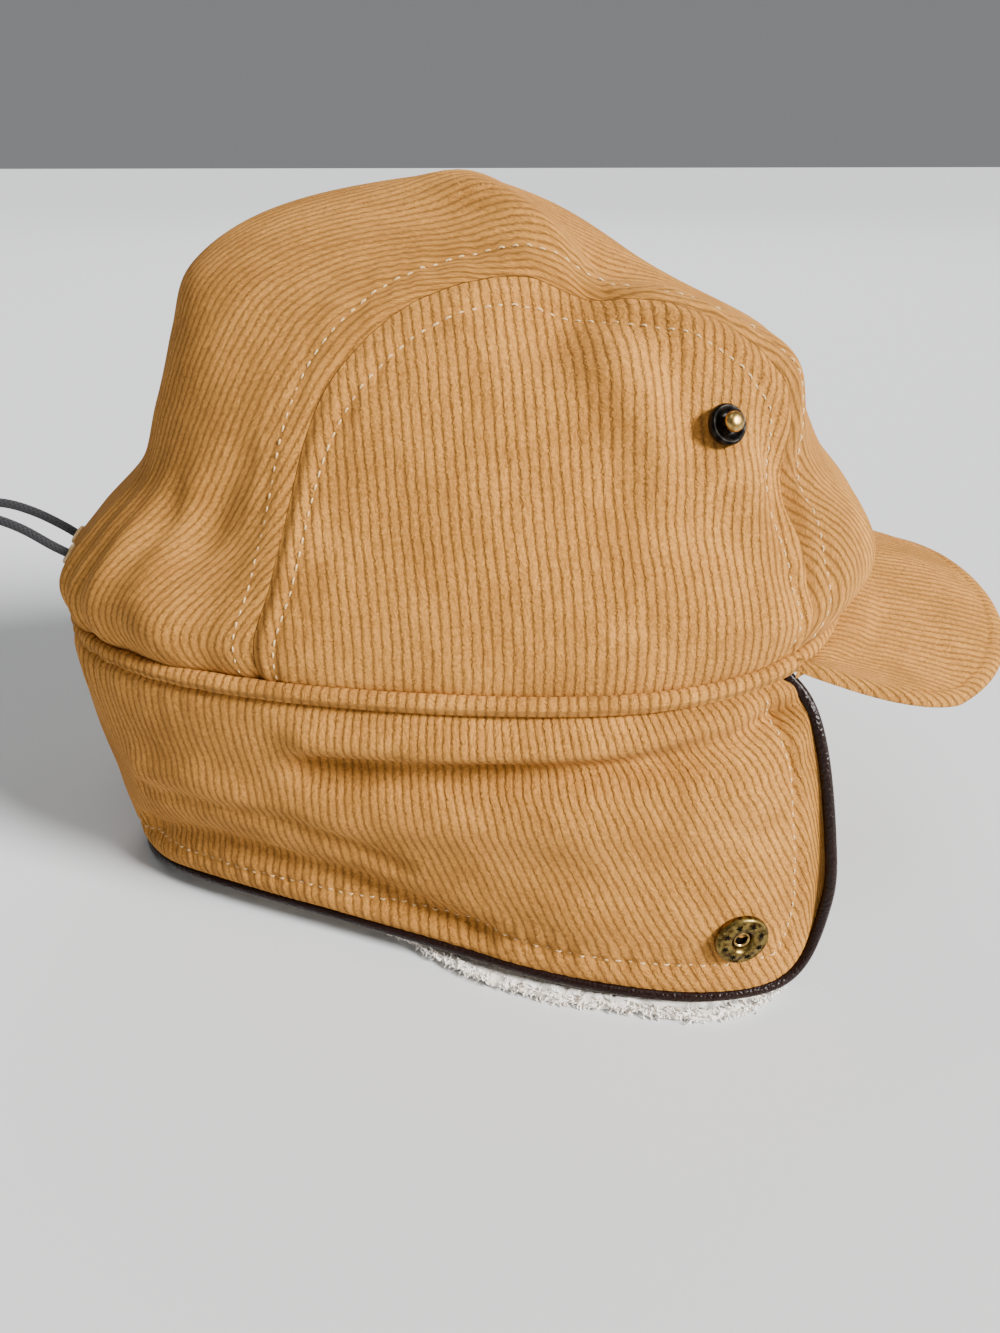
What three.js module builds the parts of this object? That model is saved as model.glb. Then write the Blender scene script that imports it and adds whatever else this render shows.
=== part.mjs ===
import * as THREE from 'three';

// Earflap cap in corduroy, standing on its flap edges with the flaps turned down.
// Sizes are millimetres. The peak points along +X, up is +Z and the wearer's right is -Y.

const CLOTH = 2.2; // corduroy wall
const GAP = 0.3; // clearance between neighbouring pieces
const HEAD_SPAN = 95; // millimetres for one unit of the crown's round chart
const EGG = 0.28; // how much wider the plan is toward the front
const BLUNT = 0.2; // how square the plan is at both ends
const FAR_SHARE = 0.5; // share of the right side's folds that the left side repeats
const CENTRE_X = 21.191; // middle of the cap's length, which becomes the origin

const BAND_TOP = 2.9; // welt above the rim line
const BAND_FOOT = 1.9; // welt below the rim line
const BAND_OUT = 1.2; // welt proud of the cloth
const BAND_IN = 3.4; // welt behind the cloth's outer face

const FLAP_START = 47.6; // plan angle of the flap's front edge, degrees from the front
const PIPING = 1.5; // piping radius
const PILE = 4.2; // pile lining
const LIP = 1.9; // height of the lining's lip under the piping

const PEAK_ROOT = 46.4; // plan angle of each end of the peak's root, degrees
const PEAK_BACK = 72; // where the peak's side edges start
const PEAK_REACH = 83; // from there to the tip
const PEAK_HALF = 74; // half of the peak's width
const PEAK_WALL = 3.2; // stiffened peak
const PEAK_ARCH = 18; // how much lower the sides are than the middle, toward the tip
const PEAK_CROWN = 7; // and all along

const CORD = 1.25; // elastic cord radius

const table = (names, rows) => rows.map((row) => (
  Object.fromEntries(names.split(' ').map((name, i) => [name, row[i]]))
));

// Rings of the crown from its top to its rim: height and reach forward, back and sideways.
const CROWN = table('ring height front back side', [
  [0.00, 191.2, 0.0, 0.0, 0.0],
  [0.10, 188.4, 19.6, 26.2, 14.0],
  [0.20, 182.3, 38.2, 49.6, 26.0],
  [0.32, 171.7, 58.4, 67.5, 38.9],
  [0.45, 156.8, 79.0, 74.5, 50.4],
  [0.58, 139.7, 88.3, 80.5, 59.7],
  [0.70, 122.9, 96.0, 87.5, 67.7],
  [0.80, 109.5, 105.0, 101.5, 74.5],
  [0.90, 95.8, 109.0, 112.5, 77.5],
  [1.00, 82.8, 101.5, 110.3, 78.4],
]);
const RIM_RING = 0.974; // where the cloth of the crown ends above the welt
const RIM_RISE = 2; // how much the rim climbs toward the front
const TEMPLE_RISE = 10; // further climb from the temples on
const TEMPLE_X = 20; // how far forward the temples start

// Seam between the strip and the right side panel, in the crown's round chart.
const SEAM = table('ahead aside', [
  [-0.511, -0.859],
  [-0.40, -0.715],
  [-0.35, -0.59],
  [-0.26, -0.485],
  [-0.165, -0.415],
  [-0.055, -0.35],
  [0.05, -0.315],
  [0.15, -0.32],
  [0.25, -0.325],
  [0.35, -0.33],
  [0.44, -0.35],
  [0.505, -0.42],
  [0.55, -0.52],
  [0.60, -0.61],
  [0.688, -0.726],
]);

// Soft ridges (rise above 0) and dents (below 0) of the crown, paths in the round chart.
const CROWN_FOLDS = [
  { fold: 'dip in the seam', rise: -5.5, width: 6, path: [[0.10, -0.40], [0.16, -0.22]] },
  { fold: 'raised front seam', rise: 7, width: 9, path: [[0.27, -0.35], [0.42, -0.31]] },
  { fold: 'hollow top front', rise: -4.5, width: 13, path: [[0.20, -0.10], [0.34, 0.04]] },
  { fold: 'top ridge', rise: 4, width: 5.5, path: [[0.00, -0.09], [0.05, -0.16], [0.08, -0.26]] },
  { fold: 'side ridge', rise: 3.5, width: 6, path: [[0.17, -0.45], [0.28, -0.54], [0.42, -0.52]] },
  { fold: 'side hollow', rise: -2.5, width: 9, path: [[0.22, -0.62], [0.36, -0.63]] },
  { fold: 'front corner', rise: -4.5, width: 6, path: [[0.51, -0.44], [0.56, -0.60]] },
  { fold: 'front swell', rise: 2.5, width: 11, path: [[0.66, -0.45], [0.76, -0.40]] },
  { fold: 'back tuck', rise: -2.5, width: 6, path: [[-0.48, -0.60], [-0.60, -0.45]] },
  { fold: 'back roll', rise: 2, width: 7, path: [[-0.62, -0.62], [-0.72, -0.42]] },
];

// Flap from its front edge to the centre back: reach of the hem against the rim, hem height.
const FLAP = table('angle long wide hem', [
  [45, 1.165, 1.2, 56],
  [47.2, 1.165, 1.207, 36],
  [48.2, 1.175, 1.21, 24],
  [50, 1.195, 1.213, 13.5],
  [52, 1.2, 1.215, 8],
  [58, 1.19, 1.205, 3.3],
  [66, 1.15, 1.165, 2.5],
  [78, 1.1, 1.09, 2.7],
  [90, 0.995, 1, 3.4],
  [105, 0.96, 0.9, 4.4],
  [120, 0.93, 0.84, 5.2],
  [135, 0.915, 0.815, 5],
  [150, 0.92, 0.84, 4.4],
  [165, 0.93, 0.9, 2],
  [180, 0.94, 0.96, 0],
]);
const FLAP_BELLY = 2.5; // outward swell of the flap's upper part
const FLAP_FLARE = 0.6; // power of the drop by which the ear corner reaches forward
const RIM_DEGREE = 1.45; // millimetres for a degree of plan angle
const FLAP_DEPTH = 80; // millimetres from rim to hem

// Creases of the flap, paths in plan angle and share of the drop.
const FLAP_FOLDS = [
  { fold: 'roll over the crease', rise: 2.5, width: 5, path: [[114, 0.13], [84, 0.085], [58, 0.02]] },
  { fold: 'upper crease', rise: -5.5, width: 4.5, path: [[114, 0.255], [84, 0.195], [52, 0.08]] },
  { fold: 'roll under it', rise: 2.5, width: 8, path: [[110, 0.42], [84, 0.38], [60, 0.28]] },
  { fold: 'lower crease', rise: -4, width: 5, path: [[160, 0.80], [135, 0.72], [112, 0.76], [94, 0.86]] },
  { fold: 'back swell', rise: 2, width: 9, path: [[148, 0.5], [118, 0.47]] },
  { fold: 'corner swell', rise: 2, width: 9, path: [[78, 0.72], [62, 0.66]] },
];

// Lip of the pile lining beyond the flap's outer face, and how far up its foot starts.
const LINING = table('angle lip foot', [
  [45, -3.4, 40],
  [48, -3.4, 16],
  [52, -3.4, 5.5],
  [56, -3.0, 1.2],
  [62, 2.4, 0],
  [75, 2.9, 0],
  [94, 2.6, 0],
  [106, -3.0, 1.5],
  [130, -3.4, 3.4],
  [160, -3.4, 1.2],
  [180, -3.4, 0.3],
]);

const STUD_SPOT = [0.342, -0.468]; // round chart
const SOCKET_SPOT = [61.25, 0.74]; // plan angle, share of the drop

// Turned profiles of the snap's two halves, radius and height.
const STUD_PROFILE = table('radius height', [
  [0, 0], [5.3, 0], [5.3, 1.2], [4.5, 2.0], [2.6, 1.3], [1.9, 1.5], [2.4, 3.2], [1.7, 4.4], [0, 4.8],
]);
const SOCKET_PROFILE = table('radius height', [
  [2.4, 0], [6.95, 0], [6.95, 1.2], [6.2, 1.9], [3.6, 2.1], [3.0, 1.5], [2.4, 1.5], [2.4, 0],
]);

const HOLE_SPOT = [-0.862, 0.085]; // round chart, hole of the left strand

// One strand of the elastic cord, springing out from its hole and drooping to the lock.
const STRAND = table('x y z', [
  [-120.5, 6.8, 106.5],
  [-128, 6.2, 109.5],
  [-135.5, 5.5, 109.8],
  [-143, 4.8, 106.5],
  [-149, 4.2, 99.5],
  [-155, 3.8, 88],
  [-159.5, 3.4, 74],
  [-163, 3.0, 58],
  [-166, 2.7, 42],
  [-169.5, 2.5, 26],
  [-174.5, 2.3, 12.5],
  [-182.5, 2.3, 5.2],
]);
const LOCK_START = -186; // the lock's near face
const LOCK_LENGTH = 15;
const LOCK_HALF_WIDTH = 6.5;
const LOCK_HALF_HEIGHT = 4;
const LOCK_BORE = 1.65;
const LOCK_PITCH = 2.3; // each bore from the middle
const LOOP = table('x y z', [
  [-203, 2.4, 3.8],
  [-209, 4.2, 2.4],
  [-215.5, 6.0, 1.4],
  [-221.5, 4.9, 1.3],
]);
const LOOP_TIP = [-224, 0, 1.3];

const finishOf = (colour, roughness, metalness) => (
  new THREE.MeshStandardMaterial({ color: colour, roughness, metalness })
);
const CORDUROY = [0xc8924c, 0.95, 0];
const LEATHER = [0x2a1512, 0.45, 0];
const FLEECE = [0xe6e2dc, 1, 0];
const BRASS = [0x7a5f2e, 0.4, 1];
const DARK_METAL = [0x1d1a17, 0.4, 1];
const ELASTIC = [0x0c0c0d, 0.8, 0];
const BLACK_PLASTIC = [0x111112, 0.5, 0];

// A smooth curve through one column of a table; level makes it start level.
function curveOf(rows, across, up, level = false) {
  const last = rows.length - 1;
  const step = (i) => rows[i + 1][across] - rows[i][across];
  const climb = (i) => (rows[i + 1][up] - rows[i][up]) / step(i);
  const slopes = rows.map((row, i) => {
    if (i === 0) return level ? 0 : climb(0);
    if (i === last) return climb(last - 1);
    return (step(i - 1) * climb(i) + step(i) * climb(i - 1)) / (step(i - 1) + step(i));
  });
  return (value) => {
    const at = THREE.MathUtils.clamp(value, rows[0][across], rows[last][across]);
    const next = rows.findIndex((row, i) => i > 0 && at <= row[across]);
    const i = next - 1;
    const width = step(i);
    const t = (at - rows[i][across]) / width;
    const rest = 1 - t;
    return (1 + 2 * t) * rest * rest * rows[i][up] + t * rest * rest * width * slopes[i]
      + t * t * (3 - 2 * t) * rows[next][up] - t * t * rest * width * slopes[next];
  };
}

const crownHeight = curveOf(CROWN, 'ring', 'height', true);
const crownFront = curveOf(CROWN, 'ring', 'front');
const crownBack = curveOf(CROWN, 'ring', 'back');
const crownSide = curveOf(CROWN, 'ring', 'side');
const hemLong = curveOf(FLAP, 'angle', 'long');
const hemWide = curveOf(FLAP, 'angle', 'wide');
const hemHeight = curveOf(FLAP, 'angle', 'hem');
const liningLip = curveOf(LINING, 'angle', 'lip');
const liningFoot = curveOf(LINING, 'angle', 'foot');

// Plan outline of a ring; positive angles turn toward +Y.
function oval(front, back, side, angle) {
  const c = Math.cos(angle);
  const x = ((front + back) / 2) * c + ((front - back) / 2) * c * c;
  const y = side * Math.sin(angle) * (1 + EGG * c + BLUNT * c * c);
  return [x, y];
}

function distanceToPath(path, x, y, scaleX, scaleY) {
  const spans = path.slice(1).map(([bx, by], i) => {
    const [ax, ay] = path[i];
    const dx = (bx - ax) * scaleX;
    const dy = (by - ay) * scaleY;
    const px = (x - ax) * scaleX;
    const py = (y - ay) * scaleY;
    const t = THREE.MathUtils.clamp((px * dx + py * dy) / (dx * dx + dy * dy), 0, 1);
    return Math.hypot(px - t * dx, py - t * dy);
  });
  return Math.min(...spans);
}

const foldRise = (folds, x, y, scaleX, scaleY) => folds.reduce((sum, { rise, width, path }) => {
  const away = distanceToPath(path, x, y, scaleX, scaleY) / width;
  return sum + rise * Math.exp(-away * away);
}, 0);

// Outward direction of a surface given by two numbers.
function outward(surface, u, v, stepU, stepV) {
  const alongU = surface(u + stepU, v).sub(surface(u - stepU, v));
  const alongV = surface(u, v + stepV).sub(surface(u, v - stepV));
  return alongU.cross(alongV).normalize();
}

const rimClimb = (x) => (
  (RIM_RISE * x) / 100 + TEMPLE_RISE * (Math.max(x - TEMPLE_X, 0) / 100) ** 2
);

function plainCrown(ahead, aside) {
  const ring = Math.hypot(ahead, aside);
  const angle = Math.atan2(aside, ahead);
  const [x, y] = oval(crownFront(ring), crownBack(ring), crownSide(ring), angle);
  const z = crownHeight(ring) + ring * ring * rimClimb(x);
  return new THREE.Vector3(x, y, z);
}

const crownNormal = (ahead, aside) => outward(plainCrown, ahead, aside, 0.004, 0.004);

function crownPoint(ahead, aside) {
  const near = foldRise(CROWN_FOLDS, ahead, aside, HEAD_SPAN, HEAD_SPAN);
  const far = foldRise(CROWN_FOLDS, ahead, -aside, HEAD_SPAN, HEAD_SPAN);
  const lift = near + FAR_SHARE * far;
  return plainCrown(ahead, aside).addScaledVector(crownNormal(ahead, aside), lift);
}

const RIM = CROWN[CROWN.length - 1];

// Rim line of the cap; turn runs 0 to 360 degrees from the front by way of the right side.
function rimPoint(turn) {
  const [x, y] = oval(RIM.front, RIM.back, RIM.side, THREE.MathUtils.degToRad(turn));
  return new THREE.Vector3(x, -y, RIM.height + rimClimb(x));
}

const rimNormal = (turn) => {
  const along = rimPoint(turn + 1).sub(rimPoint(turn - 1));
  return new THREE.Vector3(along.y, -along.x, 0).normalize().negate();
};

const fromFront = (turn) => Math.min(turn, 360 - turn);

function plainFlap(turn, drop) {
  const side = fromFront(turn);
  const rim = rimPoint(turn);
  const top = rim.z - BAND_FOOT - GAP;
  const swell = 1 + (FLAP_BELLY / HEAD_SPAN) * Math.sin(Math.PI * Math.sqrt(Math.max(drop, 0)));
  const long = hemLong(side) - 1;
  const x = rim.x * (1 + long * Math.max(drop, 0) ** (long > 0 ? FLAP_FLARE : 1)) * swell;
  const y = rim.y * (1 + (hemWide(side) - 1) * drop) * swell;
  return new THREE.Vector3(x, y, top + (hemHeight(side) - top) * drop);
}

const flapNormal = (turn, drop) => outward(plainFlap, turn, Math.max(drop, 0.03), 0.5, 0.02);

function flapPoint(turn, drop) {
  const near = foldRise(FLAP_FOLDS, turn, drop, RIM_DEGREE, FLAP_DEPTH);
  const far = foldRise(FLAP_FOLDS, 360 - turn, drop, RIM_DEGREE, FLAP_DEPTH);
  const calm = Math.min(1, drop * 12) * Math.min(1, (1.02 - drop) * 8);
  const lift = (near + FAR_SHARE * far) * calm;
  return plainFlap(turn, drop).addScaledVector(flapNormal(turn, drop), lift);
}

// Share of the drop that lies a given number of millimetres above the hem.
function dropAbove(turn, rise) {
  const full = plainFlap(turn, 0).z - plainFlap(turn, 1).z;
  return 1 - rise / full;
}

// Six times the volume that triangles close in, negative when they face inward.
const signedVolume = (points, faces) => evenly(faces.length / 3 - 1, 0, faces.length - 3).reduce(
  (sum, i) => {
    const [a, b, c] = [0, 1, 2].map((k) => points[faces[i + k]]);
    return sum + a.dot(b.clone().cross(c));
  }, 0);

// A closed solid through loops of equal length; each loop is an outer row and an inner row.
function loft(loops, ring = false) {
  const size = loops[0].outer.length;
  const around = 2 * size;
  const points = loops.flatMap(({ outer, inner }) => [...outer, ...[...inner].reverse()]);
  const faces = [];
  const spans = ring ? loops.length : loops.length - 1;
  for (let i = 0; i < spans; i += 1) {
    const here = i * around;
    const next = ((i + 1) % loops.length) * around;
    for (let k = 0; k < around; k += 1) {
      const after = (k + 1) % around;
      const quad = [here + k, next + k, next + after, here + after];
      const [a, b, c, d] = k < size ? quad : [quad[1], quad[2], quad[3], quad[0]];
      faces.push(a, b, c, a, c, d);
    }
  }
  const end = (loops.length - 1) * around;
  for (let k = 0; !ring && k < size - 1; k += 1) {
    const across = around - 1 - k;
    faces.push(k, k + 1, across - 1, k, across - 1, across);
    faces.push(end + k, end + across - 1, end + k + 1, end + k, end + across, end + across - 1);
  }
  if (signedVolume(points, faces) < 0) faces.reverse();
  const geometry = new THREE.BufferGeometry();
  geometry.setAttribute('position', new THREE.Float32BufferAttribute(
    points.flatMap((point) => point.toArray()), 3));
  geometry.setIndex(faces);
  geometry.computeVertexNormals();
  return geometry;
}

const evenly = (count, from, to) => (
  Array.from({ length: count + 1 }, (unused, i) => from + ((to - from) * i) / count)
);

function wallPoint(surface, normal, u, v, thickness) {
  const outer = surface(u, v);
  return { outer, inner: outer.clone().addScaledVector(normal(u, v), -thickness) };
}

// The seam as a smooth line in the round chart, share 0 at the back and 1 at the front.
const seamLine = new THREE.CatmullRomCurve3(
  SEAM.map(({ ahead, aside }) => new THREE.Vector3(ahead, aside, 0)));
const seamAt = (share) => seamLine.getPointAt(THREE.MathUtils.clamp(share, 0, 1));
const SEAM_GAP = GAP / 2 / HEAD_SPAN;

function sidePanelChart(share, down) {
  const seam = seamAt(share);
  const backAngle = Math.atan2(SEAM[0].aside, SEAM[0].ahead);
  const frontAngle = Math.atan2(SEAM[SEAM.length - 1].aside, SEAM[SEAM.length - 1].ahead);
  const angle = backAngle + (frontAngle - backAngle) * share;
  const rimX = Math.cos(angle) * RIM_RING;
  const rimY = Math.sin(angle) * RIM_RING;
  return [seam.x + (rimX - seam.x) * down, seam.y + (rimY - seam.y) * down];
}

function sidePanel(side) {
  const columns = evenly(22, 0.035, 0.965);
  const loops = columns.map((share) => {
    const walls = evenly(8, 0, 1).map((down) => {
      const [ahead, aside] = sidePanelChart(share, down);
      const clear = down === 0 ? 2 * SEAM_GAP : 0;
      return wallPoint(crownPoint, crownNormal, ahead, side * (aside - clear), CLOTH);
    });
    return { outer: walls.map(({ outer }) => outer), inner: walls.map(({ inner }) => inner) };
  });
  return loft(loops);
}

// The strip's chart: straight across between the seams, bowed to the rim at both ends.
function stripChart(share, across) {
  const seam = seamAt(share);
  const first = SEAM[0];
  const last = SEAM[SEAM.length - 1];
  const bow = (edge, sign) => {
    const aside = across * edge.aside;
    return sign * Math.sqrt(1 - aside * aside) - edge.ahead;
  };
  const ahead = seam.x + (1 - share) * bow(first, -1) + share * bow(last, 1);
  return [ahead, across * seam.y];
}

function crownStrip() {
  const loops = evenly(30, 0, 1).map((share) => {
    const walls = evenly(12, -1, 1).map((across) => {
      const [ahead, aside] = stripChart(share, across * (1 - 0.004));
      const ring = Math.hypot(ahead, aside);
      const trim = Math.min(1, RIM_RING / ring);
      return wallPoint(crownPoint, crownNormal, ahead * trim, aside * trim, CLOTH);
    });
    return { outer: walls.map(({ outer }) => outer), inner: walls.map(({ inner }) => inner) };
  });
  return loft(loops);
}

function crownBand() {
  const loops = evenly(60, 0, 360).slice(0, -1).map((turn) => {
    const rim = rimPoint(turn);
    const out = rimNormal(turn);
    const at = (away, up) => rim.clone().addScaledVector(out, away).setZ(rim.z + up);
    return {
      outer: [at(BAND_OUT * 0.3, BAND_TOP), at(BAND_OUT, BAND_TOP * 0.3), at(BAND_OUT * 0.3, -BAND_FOOT)],
      inner: [at(-BAND_IN, BAND_TOP), at(-BAND_IN, BAND_TOP * 0.3), at(-BAND_IN, -BAND_FOOT)],
    };
  });
  return loft(loops, true);
}

// Plan angles of the flap, closer together round the ear corners.
const FLAP_TURNS = [
  ...evenly(5, FLAP_START, 57),
  ...evenly(32, 57, 303).slice(1),
  ...evenly(5, 303, 360 - FLAP_START).slice(1),
];
const CLOTH_FOOT = 2 * PIPING + GAP; // cloth ends this far above the hem line
const flapDrops = (turn) => evenly(7, 0, dropAbove(turn, CLOTH_FOOT));

function earFlap() {
  const loops = FLAP_TURNS.map((turn) => {
    const walls = flapDrops(turn).map((drop) => (
      wallPoint(flapPoint, flapNormal, turn, drop, CLOTH)
    ));
    return { outer: walls.map(({ outer }) => outer), inner: walls.map(({ inner }) => inner) };
  });
  return loft(loops);
}

function flapLining() {
  const inset = CLOTH + GAP;
  const behind = CLOTH / 2 + PIPING + 5 * GAP; // clear of the piping
  const loops = FLAP_TURNS.slice(1, -1).map((turn) => {
    const side = fromFront(turn);
    const bottom = Math.max(0, liningFoot(side));
    const at = (drop, away) => (
      flapPoint(turn, drop).addScaledVector(flapNormal(turn, drop), away)
    );
    const edge = plainFlap(turn, 1);
    const out = flapNormal(turn, 1).setZ(0).normalize();
    const low = (away, height) => edge.clone().addScaledVector(out, away).setZ(height);
    const drops = flapDrops(turn);
    const lip = liningLip(side);
    return {
      outer: [
        ...drops.map((drop, i) => at(drop, i < drops.length - 1 ? -inset : -behind)),
        low(-behind, bottom + LIP),
        low(lip, bottom + LIP),
        low(lip, bottom),
      ],
      inner: [
        ...drops.map((drop) => at(drop, -inset - PILE)),
        low(-inset - PILE, bottom + LIP + 1.5),
        low(-inset - PILE, bottom + LIP),
        low(-inset - PILE, bottom),
      ],
    };
  });
  return loft(loops);
}

// Edge of the flap's cloth, down the right front edge, along the hem and up the left one.
function flapEdge() {
  const lift = PIPING + GAP;
  const half = CLOTH / 2;
  const corner = dropAbove(FLAP_START, CLOTH_FOOT);
  const front = evenly(9, 0.03, corner).slice(0, -1).map((drop) => [FLAP_START, drop]);
  const hem = FLAP_TURNS.map((turn) => [turn, dropAbove(turn, CLOTH_FOOT)]);
  const mirrored = [...front].reverse().map(([turn, drop]) => [360 - turn, drop]);
  const spots = [...front, ...hem, ...mirrored];
  const edge = spots.map(([turn, drop]) => flapPoint(turn, drop));
  return spots.map(([turn, drop], i) => {
    const before = edge[Math.max(i - 1, 0)];
    const after = edge[Math.min(i + 1, edge.length - 1)];
    const along = after.clone().sub(before).normalize();
    const out = flapNormal(turn, drop);
    const away = along.cross(out).normalize().multiplyScalar(-lift);
    return edge[i].clone().add(away).addScaledVector(out, -half);
  });
}

const circle = (radius, sides) => new THREE.Shape(evenly(sides, 0, 2 * Math.PI).slice(0, -1).map(
  (angle) => new THREE.Vector2(radius * Math.cos(angle), radius * Math.sin(angle))));

function tube(points, radius, sides, steps) {
  const curve = new THREE.CatmullRomCurve3(points);
  return new THREE.ExtrudeGeometry(circle(radius, sides), { extrudePath: curve, steps });
}

// Upper face of the peak; across runs -1 to 1 from the right side, ahead 0 at the root.
function peakPoint(across, ahead) {
  const turn = PEAK_ROOT * -across;
  const root = rimPoint(turn).addScaledVector(rimNormal(turn), BAND_OUT + GAP);
  const sweep = (across * Math.PI) / 2;
  const squareness = 2 / 2.6;
  const tipX = PEAK_BACK + PEAK_REACH * Math.abs(Math.cos(sweep)) ** squareness;
  const tipY = PEAK_HALF * Math.sign(across) * Math.abs(Math.sin(sweep)) ** squareness;
  const x = root.x + (tipX - root.x) * ahead;
  const y = root.y + (tipY - root.y) * ahead;
  const run = THREE.MathUtils.clamp((x - 100) / 68, -1, 1);
  const crest = 94 - 7 * run - 12 * Math.max(run, 0) ** 2;
  const slope = THREE.MathUtils.clamp((x - 70) / 52, 0, 1);
  const sag = (PEAK_CROWN + PEAK_ARCH * slope) * (y / PEAK_HALF) ** 2;
  const blend = Math.min(1, ahead * 4);
  return new THREE.Vector3(x, y, root.z + (crest - sag - root.z) * blend);
}

function visor() {
  const loops = evenly(24, -1, 1).map((across) => {
    const outer = evenly(7, 0, 1).map((ahead) => peakPoint(across, ahead));
    const inner = outer.map((point) => point.clone().setZ(point.z - PEAK_WALL));
    return { outer, inner };
  });
  return loft(loops);
}

function turned(profile, segments) {
  const points = profile.map(({ radius, height }) => new THREE.Vector2(radius, height));
  return new THREE.LatheGeometry(points, segments);
}

function cordLock() {
  const body = new THREE.Shape();
  const [w, h] = [LOCK_HALF_WIDTH, LOCK_HALF_HEIGHT];
  const cut = 2;
  const corners = [
    [w - cut, -h], [w, -h + cut], [w, h - cut], [w - cut, h],
    [-w + cut, h], [-w, h - cut], [-w, -h + cut], [-w + cut, -h],
  ];
  body.setFromPoints(corners.map(([x, y]) => new THREE.Vector2(x, y)));
  body.holes = [-LOCK_PITCH, LOCK_PITCH].map((x) => new THREE.Path(
    circle(LOCK_BORE, 12).getPoints().map((point) => new THREE.Vector2(point.x + x, point.y))));
  return new THREE.ExtrudeGeometry(body, { depth: LOCK_LENGTH, bevelEnabled: false });
}

function cordPath() {
  const height = LOCK_HALF_HEIGHT;
  const strand = STRAND.map(({ x, y, z }) => new THREE.Vector3(x, y, z));
  const through = [LOCK_START + 1, LOCK_START - LOCK_LENGTH / 2, LOCK_START - LOCK_LENGTH - 0.5].map(
    (x) => new THREE.Vector3(x, LOCK_PITCH, height));
  const loop = LOOP.map(({ x, y, z }) => new THREE.Vector3(x, y, z));
  const hole = crownPoint(...HOLE_SPOT);
  const straightOut = [GAP * 1.3, 4].map((away) => (
    hole.clone().addScaledVector(crownNormal(...HOLE_SPOT), away)));
  const half = [...straightOut, ...strand, ...through, ...loop];
  const right = half.map((point) => new THREE.Vector3(point.x, -point.y, point.z));
  return [...right, new THREE.Vector3(...LOOP_TIP), ...[...half].reverse()];
}

// Sets a turned piece on a surface, clear of the highest cloth under its foot.
function seat(mesh, surface, [u, v], [reachU, reachV]) {
  const normal = outward(surface, u, v, reachU, reachV);
  const centre = surface(u, v);
  const steps = evenly(4, -1, 1);
  const rises = steps.flatMap((i) => steps.map((k) => (
    surface(u + i * reachU, v + k * reachV).sub(centre).dot(normal))));
  mesh.position.copy(centre).addScaledVector(normal, Math.max(...rises) + GAP);
  mesh.quaternion.setFromUnitVectors(new THREE.Vector3(0, 1, 0), normal);
}

function onCrown(mesh, side) {
  const [ahead, aside] = STUD_SPOT;
  seat(mesh, crownPoint, [ahead, side * aside], [0.055, 0.055]);
}

function onFlap(mesh, side) {
  const [angle, drop] = SOCKET_SPOT;
  seat(mesh, flapPoint, [side > 0 ? angle : 360 - angle, drop], [4.2, 0.085]);
}

const cap = new THREE.Group();
cap.name = 'earflap_cap';

function add(name, geometry, finish) {
  const mesh = new THREE.Mesh(geometry, finishOf(...finish));
  mesh.name = name;
  cap.add(mesh);
  return mesh;
}

add('crown_strip', crownStrip(), CORDUROY);
add('side_panel_right', sidePanel(1), CORDUROY);
add('side_panel_left', sidePanel(-1), CORDUROY);
add('crown_band', crownBand(), CORDUROY);
add('ear_flap', earFlap(), CORDUROY);
add('flap_lining', flapLining(), FLEECE);
add('flap_piping', tube(flapEdge(), PIPING, 8, 96), LEATHER);
add('visor', visor(), CORDUROY);
onFlap(add('snap_socket_right', turned(SOCKET_PROFILE, 20), BRASS), 1);
onFlap(add('snap_socket_left', turned(SOCKET_PROFILE, 20), BRASS), -1);
onCrown(add('snap_stud_right', turned(STUD_PROFILE, 16), DARK_METAL), 1);
onCrown(add('snap_stud_left', turned(STUD_PROFILE, 16), DARK_METAL), -1);
add('drawcord', tube(cordPath(), CORD, 8, 76), ELASTIC);
const lock = add('cord_lock', cordLock(), BLACK_PLASTIC);
lock.quaternion.setFromRotationMatrix(new THREE.Matrix4().makeBasis(
  new THREE.Vector3(0, 1, 0), new THREE.Vector3(0, 0, 1), new THREE.Vector3(1, 0, 0)));
lock.position.set(LOCK_START - LOCK_LENGTH, 0, LOCK_HALF_HEIGHT);
cap.children.forEach((piece) => piece.position.setX(piece.position.x - CENTRE_X));

export default cap;
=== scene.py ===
# %% [markdown]
# # A corduroy cap with ear flaps
#
# The cap stands on its flap edge, with the flaps turned down and the peak to the right.
# It is sewn from three crown panels, a welt, one long flap with a pile lining and a leather
# piping, and a stiff peak. The frame from the CAD step gives the size and place of each of them.

import math

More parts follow.
